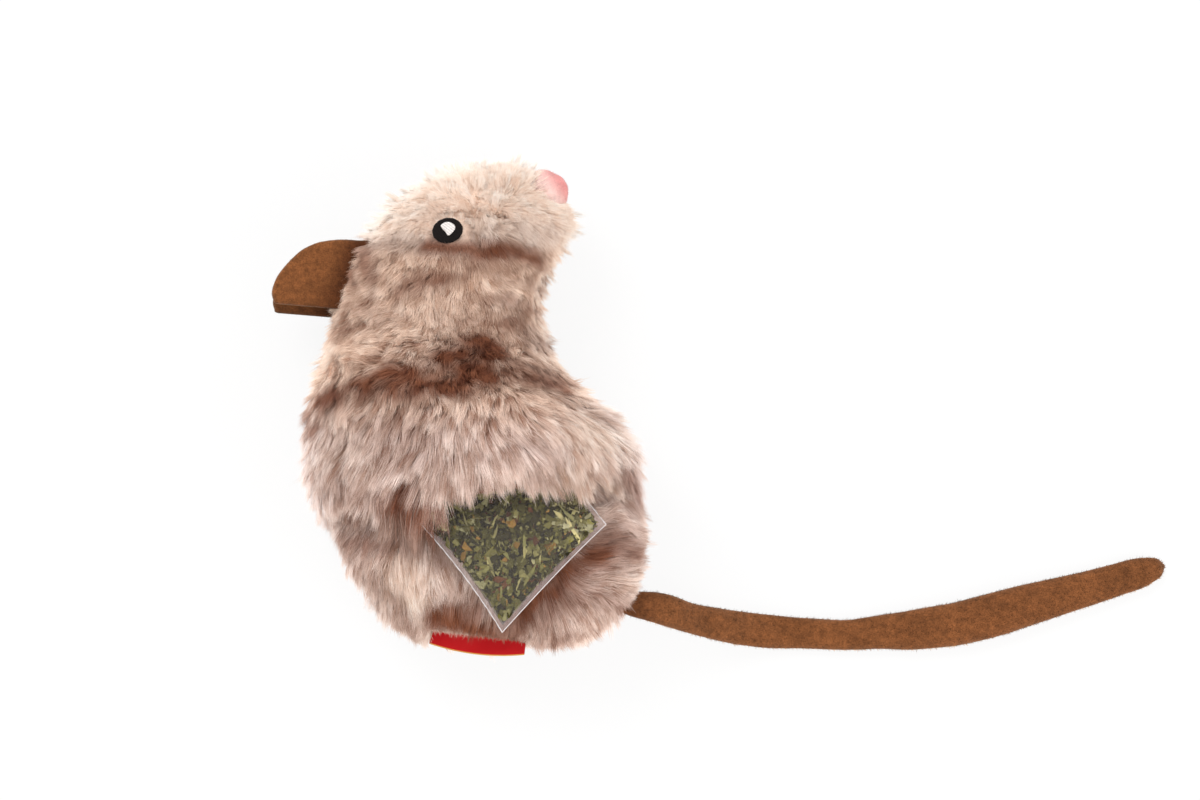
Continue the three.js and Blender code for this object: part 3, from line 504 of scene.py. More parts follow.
class Pile:
    """Strands over a surface: each is a tapered ribbon that rises, leans over and gathers into locks.

    Of each strand: high, how far it rises; long, how far it leans over; drop, how far it hangs; fluff, how much it
    stands up; hold, how firmly its lock draws it in; rim, how near it is to the outline seen from above."""

    SHARES = np.array([0, 0.4, 0.76, 1.0])

    def __init__(self, points, normals, rng, width):
        self.rng, self.width = rng, width
        self.outer, self.normal = points, normals
        self.root = points - normals * ROOT
        flow = lie(points)
        bend = np.interp(points[:, 1], [15, 28, 55, 62], [0.28, 0.5, 0.5, 0.3])
        bend *= Waves(11, 30)(points) + Waves(12, 9)(points)
        c, s = np.cos(bend)[:, None], np.sin(bend)[:, None]
        flow = c * flow + s * np.cross(normals, flow)
        self.flow = flow - (flow * normals).sum(1, keepdims=True) * normals
        self.high = np.full(len(points), ROOT, float)
        self.long = pile_length(points)
        self.kept = np.ones(len(points), bool)
        self.drop = np.zeros(len(points))
        level = 1 - ease(np.abs(normals[:, 2]), 0.3, 0.75)
        self.high -= level * np.interp(points[:, 1], [0, 20, 50, 65], [0.9, 1.6, 1.6, 1.4])
        self.fluff = np.interp(points[:, 1], [-38, 0, 40, 60, 85], [0.7, 0.7, 0.85, 0.5, 0.5])
        self.hold = np.interp(points[:, 1], [-38, 20, 45, 62, 85], [0.62, 0.6, 0.48, 0.28, 0.28])
        self.rim = 1 - ease(np.abs(normals[:, 2]), 0.1, 0.6)

    def gathered(self, gap):
        """For each strand, the strand that leads its lock, and the lock's number. Leaders are about gap apart."""
        _, leaders = np.unique(np.floor(self.root / gap).astype(int), axis=0, return_index=True)
        tree = kdtree.KDTree(len(leaders))
        for i, leader in enumerate(leaders):
            tree.insert(self.root[leader], i)
        tree.balance()
        lock = np.array([tree.find(p)[1] for p in self.root])
        return leaders[lock], lock

    def paths(self):
        """The strands' middle lines, after their locks and tufts have drawn them together."""
        rng, count, t = self.rng, len(self.root), self.SHARES
        leader, self.lock = self.gathered(1.5)
        tuft_leader, tuft = self.gathered(5.0)
        own = rng.normal(size=(count, 3))
        lock_own = rng.normal(size=(self.lock.max() + 1, 4))[self.lock]
        lock_own += 0.6 * rng.normal(size=(tuft.max() + 1, 4))[tuft]
        side = np.cross(self.normal, self.flow)
        tilt = unit(self.flow + (0.16 + 0.2 * (self.long < 6)[:, None]) * own[:, :1] * side + 1e-6)
        long = self.long * np.linalg.norm(self.flow, axis=1) * (1 + 0.14 * own[:, 1] + 0.13 * lock_own[:, 0])
        long = np.where(rng.random(count) < 0.02, 1.45, 1) * np.maximum(long, 0.5)
        high = self.high * (0.93 + 0.07 * own[:, 2] + 0.12 * lock_own[:, 1])
        stand = np.maximum(0.5 * lock_own[:, 3] + 0.45 * rng.normal(size=count), -0.2) + 0.2
        stand += np.where(rng.random(count) < 0.03 + 0.12 * self.rim, rng.uniform(0.6, 2.6, count), 0)
        spike = rng.random(self.lock.max() + 1) < 0.16
        spike = (spike * rng.uniform(1.0, 3.4, len(spike)))[self.lock] * self.rim
        spike *= np.interp(self.outer[:, 1], [55, 65], [1, 1.5])
        self.standing = np.clip(stand + spike - 0.9, 0, 1) * self.rim
        stand += spike / self.fluff * 0.8
        self.hold = np.maximum(self.hold, np.minimum(spike, 0.7))
        path = (
            self.root[:, None]
            + self.normal[:, None] * (high[:, None] * (1 - (1 - t) ** 1.9))[..., None]
            + tilt[:, None] * (long[:, None] * t**1.35)[..., None]
            + side[:, None] * (0.08 * long[:, None] * lock_own[:, 2:3] * t**1.6)[..., None]
            + self.normal[:, None] * ((stand * self.fluff)[:, None] * t**2)[..., None]
        )
        path[:, :, 2] -= self.drop[:, None] * t**2
        for lead, firm in ((tuft_leader, 0.22 * np.minimum(self.long / 9, 1)), (leader, self.hold)):
            hold = np.clip(firm + 0.16 * rng.normal(size=count), 0.05, 0.92)
            path = path[lead] + (path - path[lead]) * (1 - hold[:, None] * t**1.1)[..., None]
        path = path + 0.3 * rng.normal(size=(count, 1, 3)) * (t**2)[None, :, None]
        path[:, :, 2] = np.maximum(path[:, :, 2], 0.15 + 0.5 * rng.random((count, 1)))
        return path

    def build(self, name, material, most=28000):
        """Makes the strands that are kept, in as many pieces as keep each under the most that a piece may have."""
        path = self.paths()
        bare = 0.86 + 0.12 * ease(path[:, -1, 0], 16, 21)
        bare = bare * np.where(np.abs(path[:, -1, 2] - SEAM) > 10, 0.8, 1)
        cut = (over_nose(path[:, -2]) | over_nose(path[:, -1])) & (self.rng.random(len(path)) < bare)
        kept = np.flatnonzero(self.kept & ~cut)
        kept = kept[np.argsort(self.outer[kept, 0])]
        rng, t = self.rng, self.SHARES
        contrast = np.interp(self.outer[:, 1], [52, 62], [1, 0.65])
        tone = 0.09 * rng.normal(size=len(path)) + 0.11 * rng.normal(size=self.lock.max() + 1)[self.lock]
        tone = 1 + contrast * tone
        pieces = []
        parts = np.array_split(kept, math.ceil(len(kept) / most))
        for number, part in enumerate(parts):
            way, normal, standing = path[part], self.normal[part], self.standing[part]
            tangent = unit(np.gradient(way, axis=1))
            faced = normal + 1.2 * standing[:, None] * np.array([0, 0, 1])
            across = unit(np.cross(way[:, -1] - way[:, 0], faced + 0.12 * rng.normal(size=(len(part), 3))))[:, None]
            across = across * np.ones((1, len(t), 1))
            front = (np.cross(across, tangent)[:, 1:] * faced[:, None]).sum((1, 2))
            across = across * np.where(front < 0, -1, 1)[:, None, None]
            wide = self.width * (0.75 + 0.5 * rng.random(len(part)))[:, None] * (1 - 0.86 * t**1.6)
            facing = unit(np.cross(across, tangent))
            facing = facing * np.where((facing * normal[:, None]).sum(-1, keepdims=True) < 0, -1, 1)
            shade = unit(0.8 * normal[:, None] + 0.2 * facing + 0.9 * standing[:, None, None] * np.array([0, 0, 1]))
            # Painted highlight: strands near the outline seen from above, and those that stand out from it, are made
            # paler, as if lit from behind
            pale = 1 + 0.1 * self.rim[part] + 0.2 * standing
            colours = pile_colours(way[:, -2], t, np.clip(tone[part], 0.68, 1.25) * pale)
            order = np.argsort(np.floor(self.root[part, 1] / 3) * 1e3 + self.root[part, 0])
            label = name if len(parts) == 1 else f"{name}_{number + 1}"
            pieces.append(ribbons(label, way, across, t, wide, colours, shade, material, order))
        print(name, len(kept), "strands")
        return pieces


# Materials


def toolkit(tree):
    """Short ways to make a tree's nodes. Capitals name a node's sockets, small letters its settings."""

    def put(socket, value):
        if hasattr(value, "is_output"):
            tree.links.new(value, socket)
        else:
            socket.default_value = value

    def make(kind, **values):
        node = tree.nodes.new("ShaderNode" + kind)
        for key, value in values.items():
            if key[0].isupper():
                put(node.inputs[key.replace("_", " ")], value)
            else:
                setattr(node, key, value)
        return node

    def both(operation, a, b):
        node = make("Math", operation=operation)
        put(node.inputs[0], a)
        put(node.inputs[1], b)
        return node.outputs[0]

    return put, make, both


def noise(scale, detail=2.0, distortion=0.0):
    def texture(spot, make, both):
        node = make("TexNoise", Vector=spot, Scale=scale, Detail=detail, Distortion=distortion)
        return node.outputs["Fac"]

    return texture


def cells(scale, feature="F1", span=None):
    def texture(spot, make, both):
        far = make("TexVoronoi", Vector=spot, Scale=scale, feature=feature).outputs["Distance"]
        return make("MapRange", Value=far, From_Min=span[0], From_Max=span[1]).outputs["Result"] if span else far

    return texture


def weave(warp, weft, operation):
    def texture(spot, make, both):
        ways = ((warp, "X"), (weft, "Y"))
        threads = [make("TexWave", Vector=spot, Scale=s, bands_direction=way).outputs["Fac"] for s, way in ways]
        return both(operation, *threads)

    return texture


def stitches(spot, make, both):
    return make("TexWave", Vector=spot, Scale=900.0, Distortion=0.6, Detail_Scale=3.0).outputs["Fac"]


def new_material(name, surface, *layers, colour=None, ramp=None, bump=None, alpha=1.0, turn=0.0):
    """A material whose colour, or else the attribute tint, is made darker and lighter by one texture after another.

    surface is the roughness, specular, sheen and the sheen's tint. Each layer is a texture with the lightness at its
    0 and 1. ramp takes the place of both, as the colours at 0 and 1. bump is the strength and distance of the first
    texture's relief, and turn the angle of all textures."""
    made = bpy.data.materials.new(name)
    made.use_nodes = True
    shader = made.node_tree.nodes["Principled BSDF"]
    put, make, both = toolkit(made.node_tree)
    for socket, value in zip(("Roughness", "Specular IOR Level", "Sheen Weight", "Sheen Tint"), surface):
        put(shader.inputs[socket], value)
    put(shader.inputs["Alpha"], alpha)
    spot = make("TexCoord").outputs["Object"]
    if turn:
        spot = make("Mapping", Vector=spot, Rotation=(0, 0, turn)).outputs["Vector"]
    values = [layer[0](spot, make, both) for layer in layers]
    if ramp:
        node = make("ValToRGB", Fac=values[0])
        for element, shade in zip(node.color_ramp.elements, ramp):
            element.color = shade
        tone = node.outputs["Color"]
    else:
        tone = make("VertexColor", layer_name="tint").outputs["Color"] if colour is None else (*colour, 1)
        for value, (_, low, high) in zip(values, layers):
            scale = make("MapRange", Value=value, To_Min=low, To_Max=high).outputs["Result"]
            tone = make("HueSaturation", Value=scale, Color=tone).outputs["Color"]
    put(shader.inputs["Base Color"], tone)
    if bump:
        relief = make("Bump", Height=values[0], Strength=bump[0], Distance=bump[1])
        put(shader.inputs["Normal"], relief.outputs["Normal"])
    return made


plush = new_material("plush_pile", (0.62, 0.2, 0.15), (noise(900.0), 0.88, 1.12))
backing = new_material(
    "knitted_backing",
    (0.95, 0.1),
    (cells(900.0),),
    ramp=((0.34, 0.21, 0.15, 1), (0.55, 0.4, 0.32, 1)),
    bump=(0.5, 0.0003),
)
undercoat = new_material("plush_undercoat", (0.85, 0.1, 0.15), (noise(1400.0, 3.0), 0.78, 1.2), bump=(0.8, 0.0006))
suede = new_material(
    "suede",
    (0.9, 0.12, 0.25, (1, 0.8, 0.6, 1)),
    (noise(2600.0, 3.0), 0.42, 1.6),
    (noise(620.0, 3.0), 0.4, 1.62),
    (cells(1500.0, span=(0.05, 0.3)), 0.72, 1.04),
    bump=(0.6, 0.00025),
)
felt = new_material(
    "felt",
    (0.95, 0.1, 0.2, (1, 0.85, 0.85, 1)),
    (noise(1500.0, 5.0, 1.2), 0.82, 1.16),
    (noise(220.0), 0.94, 1.06),
    bump=(0.7, 0.0003),
)
black, white = (
    new_material(
        name, (rough, shine, 0.03), (stitches, 0.5, 1.4), (noise(1800.0), 0.8, 1.2),
        colour=colour, bump=(0.8, 0.00015), turn=turn,
    )
    for name, colour, rough, turn, shine in (
        ("black_satin", srgb(24, 19, 18), 0.7, 0.35, 0.1),
        ("white_satin", srgb(238, 231, 227), 0.55, 1.2, 0.3),
    )
)
ribbon = new_material(
    "woven_ribbon",
    (0.5, 0.2, 0.05, (1, 0.4, 0.4, 1)),
    (weave(1500.0, 1100.0, "MULTIPLY"), 0.8, 1.12),
    bump=(0.45, 0.0001),
)
films = [
    new_material(
        name, (0.25, shine), (noise(130.0, 3.0, 0.8), 0.94, 1.06), colour=colour, alpha=alpha, bump=(0.35, 0.0012)
    )
    for name, colour, alpha, shine in (
        ("film_panel", srgb(206, 200, 200), 0.03, 0.12),
        ("film_margin", srgb(190, 176, 174), 0.12, 0.25),
        ("film_rim", srgb(236, 230, 230), 0.6, 0.35),
    )
]
leaf = new_material(
    "dried_leaf",
    (0.85, 0.2),
    (noise(1300.0, 3.0), 0.7, 1.3),
    (cells(700.0, "DISTANCE_TO_EDGE"), 0.9, 1.15),
    bump=(0.6, 0.0002),
)
fibre = new_material(
    "loose_fibre", (0.9, 0.1, 0.2), (noise(420.0, 8.0, 2.5), 0.75, 1.1), colour=(0.86, 0.84, 0.81), bump=(0.9, 0.0012)
)
lining, strip = (
    new_material(
        name, (0.85, 0.15, 0.1), (weave(scale, scale, "MAXIMUM"), 0.75, 1.1), colour=colour, bump=(0.6, 0.0002)
    )
    for name, colour, scale in (
        ("pocket_lining", srgb(132, 98, 78), 700.0),
        # Its colour is a guess, darkened to that of the pile in shade round it: painted shade
        ("fastening_strip", srgb(112, 78, 60), 1100.0),
    )
)


# Meshes


def points_of(mesh):
    """The mesh's points, in millimetres."""
    flat = np.empty(3 * len(mesh.vertices), np.float32)
    mesh.vertices.foreach_get("co", flat)
    return flat.reshape(-1, 3).astype(float) / MM


def build(name, points, faces, *materials, tint=None, smooth=True, clean=""):
    """An object from points in millimetres. tint is each point's colour, or makes it from the points.

    clean is "outward" to drop loose points and turn the faces outward, or "merged" to join points that meet, too."""
    mesh = bpy.data.meshes.new(name)
    mesh.from_pydata((np.asarray(points) * MM).tolist(), [], faces)
    if clean:
        work = bmesh.new()
        work.from_mesh(mesh)
        bmesh.ops.delete(work, geom=[v for v in work.verts if not v.link_faces], context="VERTS")
        if clean == "merged":
            bmesh.ops.remove_doubles(work, verts=work.verts, dist=1e-6)
        bmesh.ops.recalc_face_normals(work, faces=work.faces)
        work.to_mesh(mesh)
        work.free()
    mesh.polygons.foreach_set("use_smooth", np.full(len(mesh.polygons), smooth))
    for material in materials:
        mesh.materials.append(material)
    if tint is not None:
        paint_mesh(mesh, tint(points_of(mesh)) if callable(tint) else tint)
    return add_object(name, mesh)


def settle(body, slot, pieces, *nodes):
    """Joins pieces to a body and hides the CAD nodes that they replace. slot is not used."""
    for piece in pieces:
        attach(piece, body)
    if nodes:
        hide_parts(*nodes)


def wrapped(rings, sides):
    """Faces of a tube, from the points of its rings."""
    return [
        (i * sides + j, i * sides + (j + 1) % sides, (i + 1) * sides + (j + 1) % sides, (i + 1) * sides + j)
        for i in range(rings - 1)
        for j in range(sides)
    ]


def slab(count):
    """Faces of a sheet's two sides, each a grid of count by count points, and the faces of its edge."""
    below, last = count * count, count - 1
    flat = []
    for i in range(last):
        for j in range(last):
            p, q = i * count + j, (i + 1) * count + j
            flat += [(p, q, q + 1, p + 1), (below + p + 1, below + q + 1, below + q, below + p)]
    ring = [i * count for i in range(last)] + [last * count + j for j in range(last)]
    ring += [(last - i) * count + last for i in range(last)] + [last - j for j in range(last)]
    return flat, [(b, a, below + a, below + b) for a, b in zip(ring, ring[1:] + ring[:1])]


def lens(name, outline, half, rings, material, rounding, lift, tint=None):
    """A closed disc with a rounded rim: a fan of rings from the outline's middle, above and below."""
    count = len(outline)
    middle = outline.mean(0)
    shares = np.linspace(0, 1, rings + 1)[1:] ** 0.8
    points = []
    for side, used in ((1, shares), (-1, shares[:-1])):
        points.append([*middle, side * half])
        for share in used:
            z = side * half * max(1 - share**rounding, 0) ** 0.5
            points += [[*(middle + share * (p - middle)), z] for p in outline]
    top = 1 + rings * count
    faces = []
    for k in range(count):
        n = (k + 1) % count
        faces.append((0, 1 + k, 1 + n))
        faces.append((top, top + 1 + n, top + 1 + k))
        for ring in range(rings - 1):
            a, b = 1 + ring * count, 1 + (ring + 1) * count
            faces.append((a + k, b + k, b + n, a + n))
            a += top
            b = b + top if ring < rings - 2 else b
            faces.append((a + n, b + n, b + k, a + k))
    return build(name, lift(np.array(points)), faces, material, tint=tint)


def dense_outline(corners, per):
    """A closed smooth line through the corners."""
    corners = np.asarray(corners, float)
    count = len(corners)
    out = []
    for i in range(count):
        a, b, c, d = (corners[(i + k) % count] for k in (-1, 0, 1, 2))
        for k in range(per):
            t = k / per
            bend = (2 * a - 5 * b + 4 * c - d) * t**2 + (3 * b - a - 3 * c + d) * t**3
            out.append(0.5 * (2 * b + (c - a) * t + bend))
    return np.array(out)


def surface_samples(mesh, density, rng):
    """Random points on a mesh, in millimetres, with its normals there."""
    mesh.calc_loop_triangles()
    tris = np.array([t.vertices for t in mesh.loop_triangles])
    co, no = points_of(mesh), np.array([v.normal for v in mesh.vertices])
    a, b, c = co[tris[:, 0]], co[tris[:, 1]], co[tris[:, 2]]
    area = np.linalg.norm(np.cross(b - a, c - a), axis=1) / 2
    count = int(area.sum() * density)
    pick = rng.choice(len(tris), count, p=area / area.sum())
    u, v = rng.random((2, count, 1))
    flip = u + v > 1
    u, v = np.where(flip, 1 - u, u), np.where(flip, 1 - v, v)
    corners = tris[pick].T
    at, up = ((1 - u - v) * g[corners[0]] + u * g[corners[1]] + v * g[corners[2]] for g in (co, no))
    return at, unit(up)


def nap(name, piece, density, rng, flow, shade, long, wide):
    """Short fuzz on a piece of suede or felt: bent ribbons of three rings, so many to a square millimetre.

    flow and shade give its direction and its colour from the places and normals."""
    points, normals = surface_samples(piece.data, density[0], rng)
    t = np.array([0, 0.55, 1.0])
    count = len(points)
    way = flow(points)
    way = way - (way * normals).sum(1, keepdims=True) * normals
    way = unit(way + 0.35 * rng.normal(size=(count, 3)))
    size = long * (0.6 + 0.8 * rng.random((count, 1, 1)))
    path = points[:, None] - 0.1 * normals[:, None] + size * (
        normals[:, None] * (0.75 * t)[None, :, None] + way[:, None] * (0.9 * t**1.5)[None, :, None]
    )
    path[:, :, 2] = np.maximum(path[:, :, 2], 0.05)
    tangent = unit(np.gradient(path, axis=1))
    across = unit(np.cross(tangent, normals[:, None] + 0.3 * rng.normal(size=(count, 1, 3))))
    width = np.full((count, 1), wide) * (1 - 0.7 * t)
    tone = np.clip(1 + 0.36 * rng.normal(size=(count, 1, 1)), 0.4, 1.9)
    tint = within(np.repeat(shade(points, normals)[:, None], 3, 1) * tone * np.array([0.8, 1.0, 1.15])[None, :, None])
    order = np.argsort(np.floor(points[:, 1] / 2) * 1e3 + points[:, 0])
    facing = np.repeat(normals[:, None], 3, 1)
    return ribbons(name, path, across, t, width, tint, facing, piece.data.materials[0], order)


# Camera and light, at the photograph's straight-down view


def add_camera():
    sensor, wide, high = 36, 0.3, 5.0
    data = bpy.data.cameras.new("camera")
    data.sensor_width = sensor
    data.lens = sensor * high / wide
    camera = add_object("camera", data)
    camera.location = (0.03125, 0.025, high + 0.03)
    bpy.context.scene.camera = camera


def add_lights():
    for name, place, size, power, colour in (
        ("key", (-0.55, 0.75, 1.1), 0.8, 9.6, (1, 1, 1)),
        ("fill", (0.9, -0.35, 0.9), 0.9, 4.5, (1, 1, 1)),
        ("rim", (0.25, -0.9, 0.3), 0.5, 2.2, (1, 0.86, 0.66)),
    ):
        data = bpy.data.lights.new(name, "AREA")
        data.shape, data.size, data.energy, data.color = "DISK", size, power, colour
        lamp = add_object(name, data)
        lamp.location = place
        lamp.rotation_euler = (Vector((0.03, 0.02, 0.02)) - Vector(place)).to_track_quat("-Z", "Y").to_euler()


def add_world():
    """White all round: dimmer as a light than where it is seen, mirrored or seen through the film."""
    world = bpy.data.worlds.new("world")
    world.use_nodes = True
    nodes = world.node_tree.nodes
    put, make, both = toolkit(world.node_tree)
    back = nodes["Background"]
    put(back.inputs["Color"], (1, 1, 1, 1))
    put(back.inputs["Strength"], 0.82)
    rays = make("LightPath").outputs
    seen = both("MAXIMUM", rays["Is Camera Ray"], rays["Is Glossy Ray"])
    mix = make("MixShader", Fac=both("MAXIMUM", seen, rays["Is Transmission Ray"]))
    put(mix.inputs[1], back.outputs[0])
    put(mix.inputs[2], make("Background", Color=(1, 1, 1, 1)).outputs[0])
    put(nodes["World Output"].inputs["Surface"], mix.outputs[0])
    bpy.context.scene.world = world


def add_floor():
    """A table as white as the photograph's ground, which still takes a shadow."""
    table = new_material("floor", (0.9, 0.1), colour=(0.9, 0.9, 0.9))
    nodes = table.node_tree.nodes
    put, make, both = toolkit(table.node_tree)
    mix = make("MixShader", Fac=both("MULTIPLY", make("LightPath").outputs["Is Camera Ray"], 0.87))
    put(mix.inputs[1], nodes["Principled BSDF"].outputs[0])
    put(mix.inputs[2], make("Emission").outputs[0])
    put(nodes["Material Output"].inputs["Surface"], mix.outputs[0])
    reach, low = 3000, -0.4
    corners = [(x * reach, y * reach, low) for x, y in ((-1, -1), (1, -1), (1, 1), (-1, 1))]
    build("floor", corners, [(0, 1, 2, 3)], table, smooth=False)


add_camera()
add_lights()
add_world()
add_floor()
bpy.context.scene.view_settings.view_transform = "Standard"

# Plush: pile, undercoat and backing of each panel

EDGE = 4.0  # from the pocket's lip, where the tips end, to its backing
STRAND = 0.12


def in_flap(p):
    return (p[..., 0] > FLAP_X[0]) & (p[..., 0] < FLAP_X[1]) & (p[..., 1] < FOLD_Y) & (p[..., 2] > SEAM)


def near_side(p):
    return p[..., 2] >= SEAM


def above_mouth(p):
    return near_side(p) & (p[..., 1] > mouth_y(p[..., 0]) + EDGE)


def below_mouth(p):
    """The lower panel, which runs on under the flap and is cut away over the label."""
    at = on_label(p)
    notch = (np.abs(at[..., 0]) < LABEL_HALF + 0.3) & (at[..., 1] < 0.3)
    return near_side(p) & (p[..., 1] < mouth_y(p[..., 0]) + 9) & ~notch


# Of each panel: whether it lies under the flap, where it is, its body and CAD node, and strands to a square millimetre
regions = {
    "head_near_pile": (False, lambda p: near_side(p) & (p[..., 1] >= NECK), "mouse", "head_near_panel", 26),
    "head_far_pile": (False, lambda p: ~near_side(p) & (p[..., 1] >= NECK), "mouse", "head_far_panel", 9),
    "upper_pile": (False, lambda p: above_mouth(p) & (p[..., 1] < NECK) & ~in_flap(p), "mouse", "body_upper_panel", 18),
    "flap_pile": (False, lambda p: above_mouth(p) & in_flap(p), "flap", "pocket_flap", 18),
    "lower_pile": (True, below_mouth, "mouse", "body_lower_panel", 15),
    "far_pile": (False, lambda p: ~near_side(p) & (p[..., 1] < NECK), "mouse", "body_far_panel", 8),
}


def trim(pile, name):
    """Shortens the pile round the eyes, hangs it over the pocket's mouth and clears it from the label."""
    x, y, z = pile.outer.T
    from_eye = np.linalg.norm((pile.outer[:, :2] - EYE) / [1, 0.87], axis=1)
    flank = np.abs(z - SEAM) > 8
    bare, fringe = 3.3, 9.5
    short = np.where(flank, 0.25 + 0.75 * ease(from_eye, bare - 0.1, fringe), 1)
    pile.high *= np.maximum(short, 0.5)
    pile.long *= short
    pile.kept &= ~(flank & (from_eye < bare))
    away = unit(np.stack([x - EYE[0], y - EYE[1], 0 * x], -1))
    pile.flow = mixed(pile.flow, away, (1 - ease(from_eye, 3.5, 8)) * flank * 0.8)
    muzzle = ease(x, 10, 18) * ease(y, 57, 63) * (1 - ease(y, 70, 76))
    pile.long += 1.6 * muzzle
    pile.fluff += 0.8 * muzzle
    if "far" in name:
        pile.width *= 1.5
    pocket_end = ease(x, 33, 38) * ease(y, -4, 2) * (1 - ease(y, 14, 20))
    pile.high *= 1 - 0.5 * pocket_end
    if name in ("upper_pile", "flap_pile"):
        from_lip = y - mouth_y(x) - EDGE
        lip = 1 - ease(from_lip, 0, 8)
        left = ease(x, -27, -20) * (1 - ease(x, -11, -4))
        middle = ease(x, -6, -1) * (1 - ease(x, 4, 9))
        right = ease(x, 6, 11)
        beyond = 1 - ease(x, -19, -10) * (1 - ease(x, 29, 35))
        pile.drop = lip * (5 + 8 * beyond)
        drawn = pile.outer * [1, 0.3, 1]
        wisps = np.maximum(Waves(17, 4.5)(drawn), -0.3) + 0.5 * Waves(18, 2)(drawn)
        reach = np.maximum(from_lip, 0) + EDGE - 0.4 + 7 * left - 2 * middle + 3.2 * right
        reach += 3.5 * wisps + 4 * pile.rng.random(len(x)) ** 3 + 4 * beyond
        reach *= 1 - 0.5 * lip * pile.rng.random(len(x))
        pile.long = np.minimum(pile.long + 6 * left * lip, np.maximum(reach, 2.5))
        pile.hold += 0.05 * lip
        swept = (lip * left)[:, None]
        pile.flow = pile.flow * (1 - 0.5 * swept) + np.array([0.28, -0.5, 0]) * swept
    if name == "lower_pile":
        under = ease(y - mouth_y(x), -1, 3)
        pile.high *= 0.85 * (1 - 0.45 * under)
        across, out = on_label(pile.outer).T
        room = np.where(np.abs(across) < LABEL_HALF + 1.2, np.maximum(out + 0.4, 0.8), 99)
        pile.long = np.minimum(pile.long, room * (0.85 + 0.3 * pile.rng.random(len(x))))


def fold(piece):
    """Bakes the piece's place into its mesh; the flap's pieces join no body."""
    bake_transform(piece)


def undercoat_tint(share):
    """The strands' colours, at this share of their length."""
    return lambda p: pile_colours(p, np.array([share]), np.ones(len(p)))[:, 0]


def shell(name, grid, normal, keep, depth, thick, material, least):
    """A closed layer of the plush, so far under the pile's outer surface and so thick. depth may vary over the
    grid. The ends, where the form is narrower than least, are left out."""
    room = grid[:, :, 0].max(1) - grid[:, :, 0].min(1)
    roomy = room > least
    middle = (grid[:-1] + np.roll(grid, -1, 1)[1:]) / 2
    chosen = keep(middle) & (roomy[:-1] & roomy[1:])[:, None]
    thick = np.minimum(thick, 0.2 * room)[:, None, None]
    outer, inner = grid - normal * depth, grid - normal * (depth + thick)
    points = np.concatenate([outer.reshape(-1, 3), inner.reshape(-1, 3)])
    points[:, 2] = np.maximum(points[:, 2], 0.3)
    sides = grid.shape[1]
    below = grid.shape[0] * sides
    inside = set(zip(*(axis.tolist() for axis in np.nonzero(chosen))))
    faces = []
    for i, j in inside:
        k = (j + 1) % sides
        p, q, r, s = i * sides + j, i * sides + k, (i + 1) * sides + k, (i + 1) * sides + j
        faces += [(p, q, r, s), (below + s, below + r, below + q, below + p)]
        beside = {(i - 1, j): (p, q), (i + 1, j): (r, s), (i, (j - 1) % sides): (s, p), (i, k): (q, r)}
        faces += [(n, m, below + m, below + n) for other, (m, n) in beside.items() if other not in inside]
    return build(name, points, faces, material, tint=undercoat_tint(0.35), clean="outward")


whole, whole_skin = form(), form(sides=110, per=5)
lower, lower_skin = form(lower=True), form(lower=True, sides=110, per=5)
lumps, tufts = Waves(15, 5), Waves(16, 1.8)
for number, (name, (under_flap, keep, body, node, density)) in enumerate(regions.items()):
    rng = np.random.default_rng(100 + number)
    grid, normal = lower if under_flap else whole
    pile = Pile(*sample(grid, normal, keep, density / (1), rng), rng, STRAND)
    trim(pile, name)
    pieces = pile.build(name, plush)
    uneven = (UNDER + 0.35 * lumps(grid) + 0.25 * tufts(grid * [1.6, 0.7, 1]))[..., None]
    deep = PILE - UNDER - 0.7
    pieces.append(shell(name.replace("pile", "undercoat"), grid, normal, keep, uneven, deep, undercoat, 3.0))
    skin = lower_skin if under_flap else whole_skin
    pieces.append(shell(name.replace("pile", "backing"), *skin, keep, PILE, BACKING, backing, 4 * PILE))
    for piece in pieces:
        fold(piece) if body == "flap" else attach(piece, body)
    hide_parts(node)


def add_label_bed():
    """The end of the pile over the label: a short wall of it, behind the seam."""
    rng = np.random.default_rng(120)
    across, up, back, lowest = LABEL_HALF + 0.4, (26.9, 34.0), (0.4, 1.3), 26.6

    def place(x, y, z):
        flat = np.stack([x, y], -1) @ turned(LABEL_LEAN).T + LABEL[:2]
        return np.concatenate([flat, z[..., None]], -1)

    corners = [(x, y, z) for z in up for y in back for x in (-across, across)]
    faces = [(0, 2, 3, 1), (4, 5, 7, 6), (0, 1, 5, 4), (2, 6, 7, 3), (0, 4, 6, 2), (1, 3, 7, 5)]
    box = place(*np.array(corners, float).T)
    wall = build("label_undercoat", box, faces, undercoat, tint=undercoat_tint(0.3), smooth=False)
    count = 6500
    x, z = rng.uniform(-across, across, count), rng.uniform(up[0] - 0.2, up[1] + 1.5, count)
    root = place(x, np.full(count, back[0] + 0.5), z)
    t = Pile.SHARES
    here, ahead = place(np.zeros(2), np.array([0.0, -1.0]), np.zeros(2))
    outward = ahead - here
    locks = 0.35 * np.sin(x * 1.9 + 2 * np.sin(z * 1.3)) + 0.25 * np.sin(x * 4.3 + z)
    fall = unit(np.stack([locks, 0 * x, -1 + 0 * x], -1) + 0.2 * rng.normal(size=(count, 3)))
    long = rng.uniform(1.8, 3.6, (count, 1, 1)) * (1 + 0.5 * locks[:, None, None])
    out = rng.uniform(0.4, 1.1, (count, 1, 1))
    path = root[:, None] + out * outward * (1 - (1 - t) ** 2)[None, :, None]
    path += long * fall[:, None] * (t**1.3)[None, :, None]
    path[..., 2] = np.maximum(path[..., 2], lowest)
    sideways = unit(np.cross(unit(np.gradient(path, axis=1)), outward))
    wide = STRAND * (1 - 0.86 * t**1.6) * np.ones((count, 1))
    shade = np.broadcast_to(unit(outward + np.array([0, 0, 0.8])), path.shape)
    tone = 0.95 + 0.3 * locks + 0.12 * rng.normal(size=count)
    colours = pile_colours(path[:, -2], t, tone)
    pile = ribbons("label_pile", path, sideways, t, wide, colours, shade, plush, np.argsort(x))
    settle("mouse", "cream_plush", [wall, pile])


add_label_bed()
